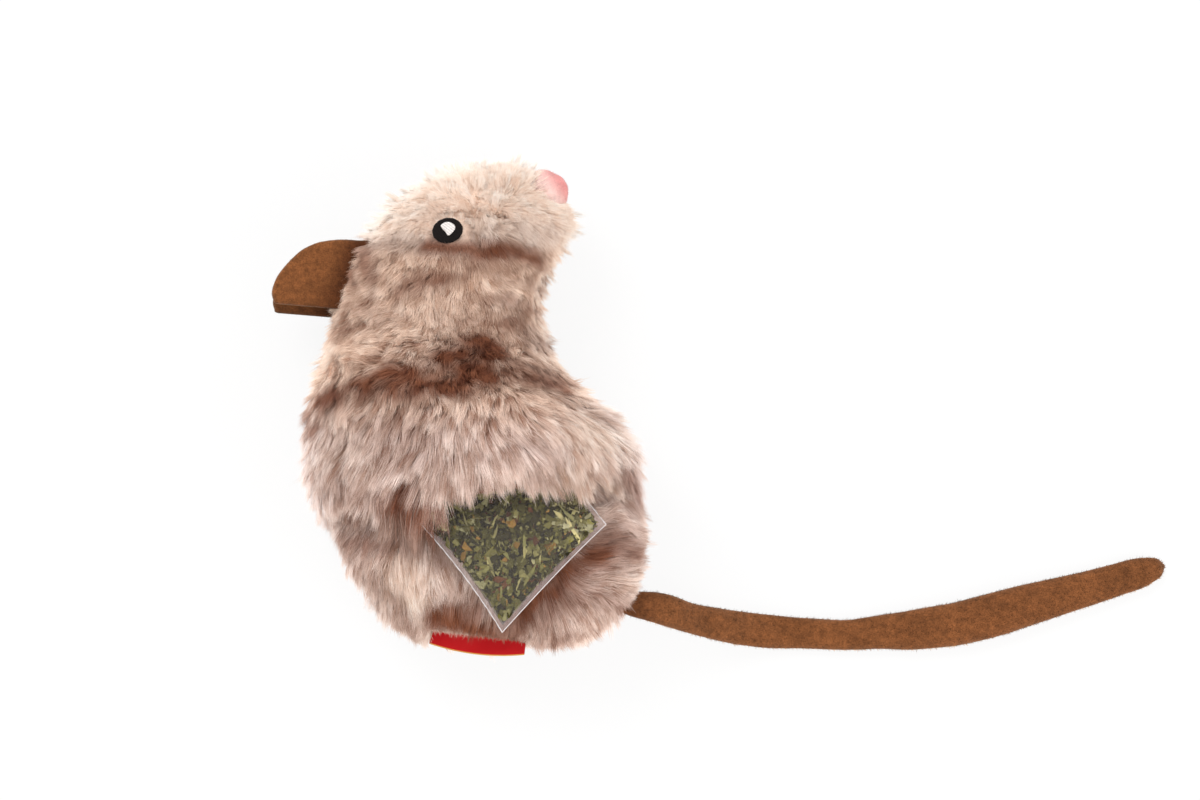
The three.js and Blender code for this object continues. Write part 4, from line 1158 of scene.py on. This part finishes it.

# Suede, felt and stitching

# The second colour is the suede in shade: painted shade where the pile shades the ears' and the tail's roots
SUEDE, SUEDE_SHADED = srgb(122, 74, 41), srgb(62, 27, 12)


def add_ear(body, root, painted_shade_lightness, seed):
    """A half-disc of suede, darker at its root with painted shade from the pile,
    and darker all over by the lightness given: painted shade on the far ear from the near one.
    """
    rng = np.random.default_rng(seed)
    lean = turned(EAR_LEAN)
    rows = np.array(EAR)
    sides = [rows[0], rows[0] * 0.4 + rows[1] * 0.6, *rows[1:], rows[-1] * 0.66, rows[-1] * 0.33]
    corners = np.array([[-out * EAR_REACH, along * EAR_HIGH] for along, out in sides])
    dense = np.concatenate([corners[:2], dense_outline(corners, 5)[10:-10], corners[-2:]])

    def lift(points):
        wave = 0.35 * np.sin(points[:, 0] / 5.5 + seed) + 0.25 * np.sin(points[:, 1] / 4 + 2 * seed)
        points[:, 2] += wave * ease(-points[:, 0], 2, 20)
        points[:, :2] = points[:, :2] @ lean.T
        return points + root

    def shade(p, normals=None):
        # Painted shade: darker towards the root, where the pile shades the ear
        near = 1 - ease(np.abs((p[:, :2] - root[:2]) @ lean[:, 0]), 3.5, 10)
        speck = 1 + 0.05 * Waves(46, 3)(p) + 0.05 * Waves(47, 1.2)(p)
        return mixed(SUEDE, SUEDE_SHADED, 0.75 * near) * painted_shade_lightness * speck[:, None]

    def flow(at):
        return np.array([-0.9, -0.35, 0.0]) + 0.6 * np.stack([streaks(at), patches(at), 0 * at[:, 0]], -1)

    piece = lens(body + "_cloth", dense, EAR_HALF, 14, suede, 7.0, lift, shade)
    fuzz = nap(body + "_cloth_nap", piece, (9, 3), rng, flow, shade, 0.45, 0.11)
    settle(body, "brown_suede", [piece, fuzz], body)


add_ear("near_ear", np.array([-30.756, 47.44, 31.5]), 1, 1)
# The far ear's lightness 0.6 is painted shade from the near ear above it
add_ear("far_ear", np.array([-30.756, 45.24, 16.5]), 0.6, 2)


def add_tail():
    rng = np.random.default_rng(31)
    rows = smooth_rows(np.array(TAIL) * [TAIL_REACH, TAIL_REACH, TAIL_HALF], 12)
    rows = rows[np.concatenate([[True], np.diff(rows[:, 0]) > 1e-4])]
    along = rows[:, 0] / TAIL_REACH
    centre = TAIL_ROOT + rows[:, :2]
    half = np.maximum(rows[:, 2], 0.25)
    flat = half * 6 / 11
    lies_from = 0.32  # of its length: before that it comes down from the seam
    t = np.minimum(along / lies_from, 1)
    high = flat + (SEAM - flat) * (1 - t) ** 2 * (1 + 2 * t)
    way = unit(np.gradient(centre, axis=0))
    side = np.stack([-way[:, 1], way[:, 0]], -1)
    sides = 56
    turn = np.linspace(0, 2 * math.pi, sides, endpoint=False)
    wide, rise = (np.sign(v) * np.abs(v) ** 0.85 for v in (np.cos(turn), np.sin(turn)))
    x = centre[:, None] + side[:, None] * (half[:, None] * wide)[..., None]
    z = high[:, None] + flat[:, None] * rise
    grid = np.concatenate([x, z[..., None]], -1)
    creased = (1 - ease(along, 0.3, 0.55)) * ease(along, 0.02, 0.1)
    dent = 0.3 * Waves(41, 17)(grid) + 0.12 * Waves(42, 6)(grid)
    dent += creased[:, None] * 0.55 * Waves(43, 13)(grid * [1, 2.2, 1])
    up = np.broadcast_to(rise[..., None], (*x.shape[:2], 1))
    out = np.concatenate([side[:, None] * wide[..., None] * 0.35, up], -1)
    grid = grid + out * (np.minimum(0.7 * dent, 0.3) * np.minimum(1, half / 3)[:, None])[..., None]
    grid[..., 2] = np.maximum(grid[..., 2], 0.12)
    points = np.concatenate([grid.reshape(-1, 3), grid[:1].mean(1), grid[-1:].mean(1)])
    first = len(points) - 2
    end = first - sides
    faces = wrapped(len(grid), sides) + [(first, (j + 1) % sides, j) for j in range(sides)]
    faces += [(first + 1, end + j, end + (j + 1) % sides) for j in range(sides)]

    def shade(p):
        tone = 0.92 + 0.08 * Waves(44, 14)(p) + 0.05 * Waves(45, 5)(p)
        # Painted shade: darker towards the root, where the tail comes out from under the pile
        return mixed(SUEDE, SUEDE_SHADED, 0.5 * (1 - ease(p[:, 0], 36, 50))) * tone[:, None]

    def lit(p, normals):
        # Painted highlight: a gold rim of light along the tail's lower edge, on its nap
        gold = np.clip(-normals[:, 1] * 1.4 - 0.5, 0, 1) * (normals[:, 2] < 0.35)
        return mixed(shade(p), srgb(214, 160, 92), gold)

    def flow(at):
        return np.array([0.9, 0.0, 0.0]) + 0.7 * np.stack([0 * at[:, 0], streaks(at), patches(at)], -1)

    piece = build("tail_suede", points, faces, suede, tint=shade, clean="outward")
    fuzz = nap("tail_nap", piece, (7, 2), rng, flow, lit, 0.5, 0.12)
    settle("tail", "brown_suede", [piece, fuzz], "tail_cover", "tail_filling")


add_tail()


def add_nose():
    rng = np.random.default_rng(51)
    sides, rings = 72, 38
    turn = np.linspace(0, 2 * math.pi, sides, endpoint=False)
    lift = np.linspace(-math.pi / 2, math.pi / 2, rings)[:, None]
    x, y = np.cos(lift) * np.cos(turn), np.cos(lift) * np.sin(turn)
    grid = np.stack([x, y, np.broadcast_to(np.sin(lift), x.shape)], -1)
    grid = np.sign(grid) * np.abs(grid) ** 0.86
    lumps = 1 + 0.025 * Waves(52, 4)(grid * 6) + 0.012 * Waves(53, 1.6)(grid * 6)
    grid[..., :2] = grid[..., :2] @ turned(0.35)
    middle, radii = NOSE - [0.4, 0.5, 0], np.array([5.9, 5.9, 7.4])
    points = middle + grid.reshape(-1, 3) * radii * np.clip(lumps, 0, 1.02).reshape(-1, 1)

    def shade(p):
        rim = ease(p[:, 0] + 0.7 * p[:, 1], 72.5, 77.5)
        tone = 1 + 0.06 * Waves(54, 2.5)(p)
        return within(mixed(srgb(236, 200, 192), srgb(230, 150, 146), rim) * tone[:, None])

    piece = build("nose_felt", points, wrapped(rings, sides), felt, tint=shade, clean="merged")
    flow = lambda at: rng.normal(size=(len(at), 3))
    fuzz = nap("nose_nap", piece, (8, 3), rng, flow, lambda p, normals: shade(p) * 1.08, 0.35, 0.08)
    settle("mouse", "pink_felt", [piece, fuzz], "nose")


add_nose()


def add_eyes():
    turn = np.linspace(0, 2 * math.pi, 96, endpoint=False)
    oval = np.stack([3.85 * np.cos(turn), 3.15 * np.sin(turn)], -1) @ turned(math.radians(12)).T
    oval *= 1 + 0.012 * np.sin(turn * 31)[:, None] + 0.01 * np.sin(turn * 13 + 1)[:, None]
    glint = dense_outline([(-1.7, 1.25), (0, 2.15), (1.6, 1.5), (1.85, 0.35), (0.35, -1.25), (-0.55, -0.35)], 9)
    stitch, spark = (oval, 0.8, black, "black_thread", (0.42, 0.91)), (glint, 0.3, white, "white_thread", (0.95, -0.3))
    for name, node, z, flip, (outline, half, material, slot, thread) in (
        ("near_eye_stitch", "near_eye", 44.95, 1, stitch),
        ("near_eye_spark", "near_eye_glint", 46.05, 1, spark),
        ("far_eye_stitch", "far_eye", 1.85, -1, stitch),
        ("far_eye_spark", "far_eye_glint", 0.62, -1, spark),
    ):

        def lift(points):
            ridge = 0.06 * np.abs(np.sin(points[:, :2] @ thread * math.pi / 0.42))
            points[:, 2] = z + flip * (points[:, 2] + ridge * np.sign(points[:, 2]))
            points[:, :2] += EYE
            return points

        piece = lens(name, outline, half, 16, material, 3.0, lift)
        if flip < 0:
            piece.data.flip_normals()
        settle("mouse", slot, [piece], node)


add_eyes()


def add_label():
    """A ribbon folded double, sewn in at both ends, with a thin gold line along its fold."""
    thick, rise, long, shows = 0.35, 1.0, 6.4, 3.8
    bend = rise / 2
    start = long - bend
    outer = [(0.0, 0.0)] + [(s, 0.0) for s in np.linspace(0.5, start, 12)]
    outer += [(start + bend * math.sin(a), bend - bend * math.cos(a)) for a in np.linspace(0.2, math.pi, 12)]
    outer += [(s, rise) for s in np.linspace(start - 0.4, 0, 12)]
    outer = np.array(outer)
    tangent = unit(np.gradient(outer, axis=0))
    inner = outer + np.stack([-tangent[:, 1], tangent[:, 0]], -1) * thick
    across = np.linspace(-LABEL_HALF, LABEL_HALF, 60)[:, None]
    loop = np.concatenate([outer, inner[::-1]])
    s, z = loop.T
    sag = 1.3 * (1 - (across / LABEL_HALF) ** 2)
    y = (long - shows) - s - sag * ease(s, 0.5, 4)
    wave = 0.18 * np.sin(across / 3.1) * ease(s, 2, 6)
    points = np.stack([across + 0 * s, y, z + wave], -1).reshape(-1, 3)
    points[:, :2] = points[:, :2] @ turned(LABEL_LEAN).T
    points += LABEL
    gold = np.tile(s > long - 0.28, len(across))[:, None]
    tints = np.where(gold, srgb(214, 158, 72), srgb(214, 6, 18))
    ring = len(loop)
    faces = wrapped(len(across), ring)
    for first in (0, (len(across) - 1) * ring):
        ends = range(ring // 2 - 1)
        faces += [(first + j, first + j + 1, first + ring - 2 - j, first + ring - 1 - j) for j in ends]
    piece = build("label_ribbon", points, faces, ribbon, tint=tints, clean="outward")
    settle("label", "red_ribbon", [piece], "side_label")


add_label()

# Sachet

HALF, SEALED, MARGIN, RIM = 18.75, 17.5, 1.7, 0.12  # half its side; where its filling ends; widths along its edge


def sachet_place(points):
    """From the sachet's own directions to the model's, with its edges drawn in a little by the filling."""
    z, x, y = math.radians(46), math.radians(2), math.radians(6.5)
    cx, sx, cy, sy = math.cos(x), math.sin(x), math.cos(y), math.sin(y)
    rz = np.eye(3)
    rz[:2, :2] = turned(z)
    rx = np.array([[1, 0, 0], [0, cx, -sx], [0, sx, cx]])
    ry = np.array([[cy, 0, sy], [0, 1, 0], [-sy, 0, cy]])
    skewed = np.array([[1, 0.143, 0], [0, 0.99, 0], [0, 0, 1]])
    points = points.copy()
    x, y = points[:, 0] / HALF, points[:, 1] / HALF
    points[:, 0] += HALF * (0.055 * ease(-x, 0, 1) - 0.012 * ease(x, 0, 1)) * (1 - y**2)
    points[:, 1] += HALF * (0.022 * ease(-y, 0, 1) - 0.012 * ease(y, 0, 1)) * (1 - x**2)
    return points @ (ry @ rx @ rz @ skewed).T + SACHET


def pillow(x, y):
    """Half the filled sachet's thickness at a place on it."""
    a = np.clip(1 - (x / SEALED) ** 2, 0, 1) * np.clip(1 - (y / SEALED) ** 2, 0, 1)
    return 0.35 + 3.0 * a**0.55


def film_surface(x, y, side):
    """The film's height, with the creases and puckers of its welded margin."""
    from_x, from_y = HALF - np.abs(x), HALF - np.abs(y)
    edge = np.minimum(from_x, from_y)
    near_weld = ease(edge, 1.5, 2.6) * (1 - ease(edge, 3, 8))
    waves = np.where(from_x < from_y, y, x)
    creases = 0.22 * near_weld * np.sin(waves * 2.1 + 2 * np.sin(waves * 0.6))
    dents = 0.22 * Waves(72, 6.5)(np.stack([x, y, 5.0 * side + 0 * x], -1)) * ease(edge, 3, 6)
    curl = 0.5 * np.sin(x / 7) * np.sin(y / 9) * (1 - ease(edge, 0, 6))
    return side * np.maximum(pillow(x, y) + creases + dents, 0.12) + curl


def add_films():
    count = 78
    line = np.concatenate([[-HALF], np.linspace(-HALF + 0.16, HALF - 0.16, count - 2), [HALF]])
    x, y = np.meshgrid(line, line, indexing="ij")
    from_edge = HALF - np.abs(line[:-1] + line[1:]) / 2
    edge = np.minimum(from_edge[:, None], from_edge).ravel().repeat(2)
    flat, rim = slab(count)
    kinds = np.concatenate([np.where(edge < RIM, 2, np.where(edge < MARGIN, 1, 0)), np.full(len(rim), 2)])
    for name, side, node in (("sachet_front", 1, "sachet_front_film"), ("sachet_back", -1, "sachet_back_film")):
        ragged = 1 + 0.006 * np.sin(y * 1.7 + side) * (np.abs(x) > HALF - 0.1)
        top = film_surface(x, y, side)
        sides = [np.stack([x * ragged, y, z], -1).reshape(-1, 3) for z in (top, top - side * 0.1)]
        faces = [face[::side] for face in flat] + rim
        piece = build(name, sachet_place(np.concatenate(sides)), faces, *films)
        piece.data.polygons.foreach_set("material_index", kinds.astype(np.int32))
        settle("sachet", "clear_film", [piece], node)


add_films()


def add_leaf():
    """Crushed leaf: a dark heap, with flakes and stems against the film on both sides."""
    rng = np.random.default_rng(71)
    kinds = [
        (srgb(88, 86, 44), 0.26),
        (srgb(114, 112, 62), 0.2),
        (srgb(140, 138, 90), 0.13),
        (srgb(168, 168, 128), 0.05),
        (srgb(158, 124, 62), 0.04),
        (srgb(96, 62, 40), 0.04),
    ]
    kinds.insert(0, (srgb(58, 55, 30), 1 - sum(share for _, share in kinds)))
    shares = np.cumsum([share for _, share in kinds])
    points, faces, tints = [], [], []

    def place_flake(at, size, stretch, colour, side):
        corners = rng.integers(5, 9)
        angle = np.sort(rng.uniform(0, 2 * math.pi, corners))
        reach = size * rng.uniform(0.55, 1.0, corners)
        flat = np.stack([reach * np.cos(angle) * stretch, reach * np.sin(angle) / stretch**0.5, 0 * angle], -1)
        flat[:, 2] = rng.uniform(0.02, 0.15) * (flat[:, 1] ** 2) / max(size, 0.4) * rng.choice([-1, 1])
        spin, tip, roll = rng.uniform(0, 2 * math.pi), rng.normal() * 0.22, rng.normal() * 0.22
        turn = np.eye(3)
        turn[:2, :2] = turned(spin)
        lean = np.array([[1, 0, tip], [0, 1, roll], [-tip, -roll, 1]])
        shape = np.vstack([[0, 0, 0], flat]) @ lean.T @ turn.T + at
        shape[:, :2] = np.clip(shape[:, :2], -17.6, 17.6)
        limit = pillow(shape[:, 0], shape[:, 1]) - 0.25
        shape[:, 2] = side * np.minimum(side * shape[:, 2], limit)
        start = len(points)
        points.extend(shape.tolist())
        faces.extend((start, start + 1 + k, start + 1 + (k + 1) % corners) for k in range(corners))
        x, y = sachet_place(shape[:1])[0, :2] - [1.5, -1.5]
        # Painted shadow of the pocket's lip on the flakes under it
        lip_shadow = 0.45 * math.exp(-((x / 6.5) ** 2) - (y / 4) ** 2)
        tone = rng.uniform(0.44, 0.92) * (1 - lip_shadow)
        # Painted highlight and reflection: flakes near the sachet's right end are lighter and yellower, as under the
        # film's reflection
        lit = math.exp(-(((x - 24) / 7) ** 2) - ((y + 3) / 6) ** 2)
        colour = colour * tone * (1 + 0.7 * lit) * np.array([1.06, 0.97, 0.84 + 0.2 * lit])
        tints.extend(np.clip(colour * rng.uniform(0.75, 1.3, (corners + 1, 1)), 0, 1).tolist())

    for side, flakes, stems in ((1, 3600, 44), (-1, 1200, 20)):
        for _ in range(flakes):
            x, y = rng.uniform(-17.4, 17.4, 2)
            deep = rng.uniform(0, 1) * 1.5
            z = side * (pillow(x, y) - 0.3 - deep)
            sizes = [rng.uniform(0.3, 0.7), rng.uniform(0.7, 1.4), rng.uniform(1.4, 2.5)]
            size = rng.choice(sizes, p=[0.52, 0.36, 0.12])
            colour = kinds[int(np.searchsorted(shares, rng.random()))][0]
            place_flake(np.array([x, y, z]), size, rng.uniform(0.8, 1.5), colour, side)
        for _ in range(stems):
            x, y = rng.uniform(-16, 16, 2)
            z = side * (pillow(x, y) - 0.3)
            pale = srgb(170, 166, 116) if rng.random() < 0.5 else srgb(134, 134, 84)
            place_flake(np.array([x, y, z]), rng.uniform(1.0, 1.6), rng.uniform(2.2, 3.4), pale, side)
    flakes = build("catnip_flakes", sachet_place(np.array(points)), faces, leaf, tint=np.array(tints), smooth=False)

    count, least = 44, 0.05
    line = np.linspace(-16.9, 16.9, count)
    x, y = np.meshgrid(line, line, indexing="ij")
    high = np.maximum(pillow(x, y) - 1.4 + 0.3 * Waves(73, 2.2)(np.stack([x, y, 0 * x], -1)), least)
    high[[0, -1], :] = least
    high[:, [0, -1]] = least
    points = np.concatenate([np.stack([x, y, side * high], -1).reshape(-1, 3) for side in (1, -1)])
    tint = np.clip(srgb(50, 44, 26) * (1 + 0.35 * Waves(74, 1.3)(points)[:, None]), 0, 1)
    heap = build("catnip_heap", sachet_place(points), sum(slab(count), []), leaf, tint=tint, smooth=False)
    settle("sachet", "dried_leaf", [heap, flakes], "catnip_leaves")


add_leaf()

# Stuffing, pocket and its fastening strips: the CAD solids' shapes, finer and uneven


def soft_copy(node, name, body, slot, material, uneven, size):
    work = bmesh.new()
    work.from_mesh(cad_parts[node].data)
    bmesh.ops.remove_doubles(work, verts=work.verts, dist=1e-6)
    bmesh.ops.subdivide_edges(work, edges=work.edges, cuts=1, use_grid_fill=True)
    bmesh.ops.triangulate(work, faces=work.faces)
    work.normal_update()
    waves = Waves(len(name), size)
    for v in work.verts:
        depth = uneven * (0.5 + 0.5 * float(waves(np.array(v.co) / MM)))
        v.co -= v.normal * depth * MM
    mesh = bpy.data.meshes.new(name)
    work.to_mesh(mesh)
    work.free()
    mesh.polygons.foreach_set("use_smooth", np.ones(len(mesh.polygons), bool))
    mesh.materials.append(material)
    piece = add_object(name, mesh)
    settle(body, slot, [piece], node)
    return piece


body_fibre = soft_copy("body_stuffing", "body_fibre", "mouse", "polyester_fibre", fibre, 0.25, 7)
body_fibre.data.materials.append(backing)  # where it would be seen through the pocket's mouth and at the label
for face in body_fibre.data.polygons:
    if (face.center.y < 0.024 and face.center.z > 0.034) or face.center.y < -0.027:
        face.material_index = 1
soft_copy("head_stuffing", "head_fibre", "mouse", "polyester_fibre", fibre, 0.25, 7)
soft_copy("pocket_pouch", "pouch_cloth", "mouse", "woven_lining", lining, 0.1, 6)
soft_copy("hook_strip", "hook_tape", "mouse", "woven_lining", strip, 0.1, 2)
soft_copy("loop_strip", "loop_tape", "flap", "woven_lining", strip, 0.1, 2)
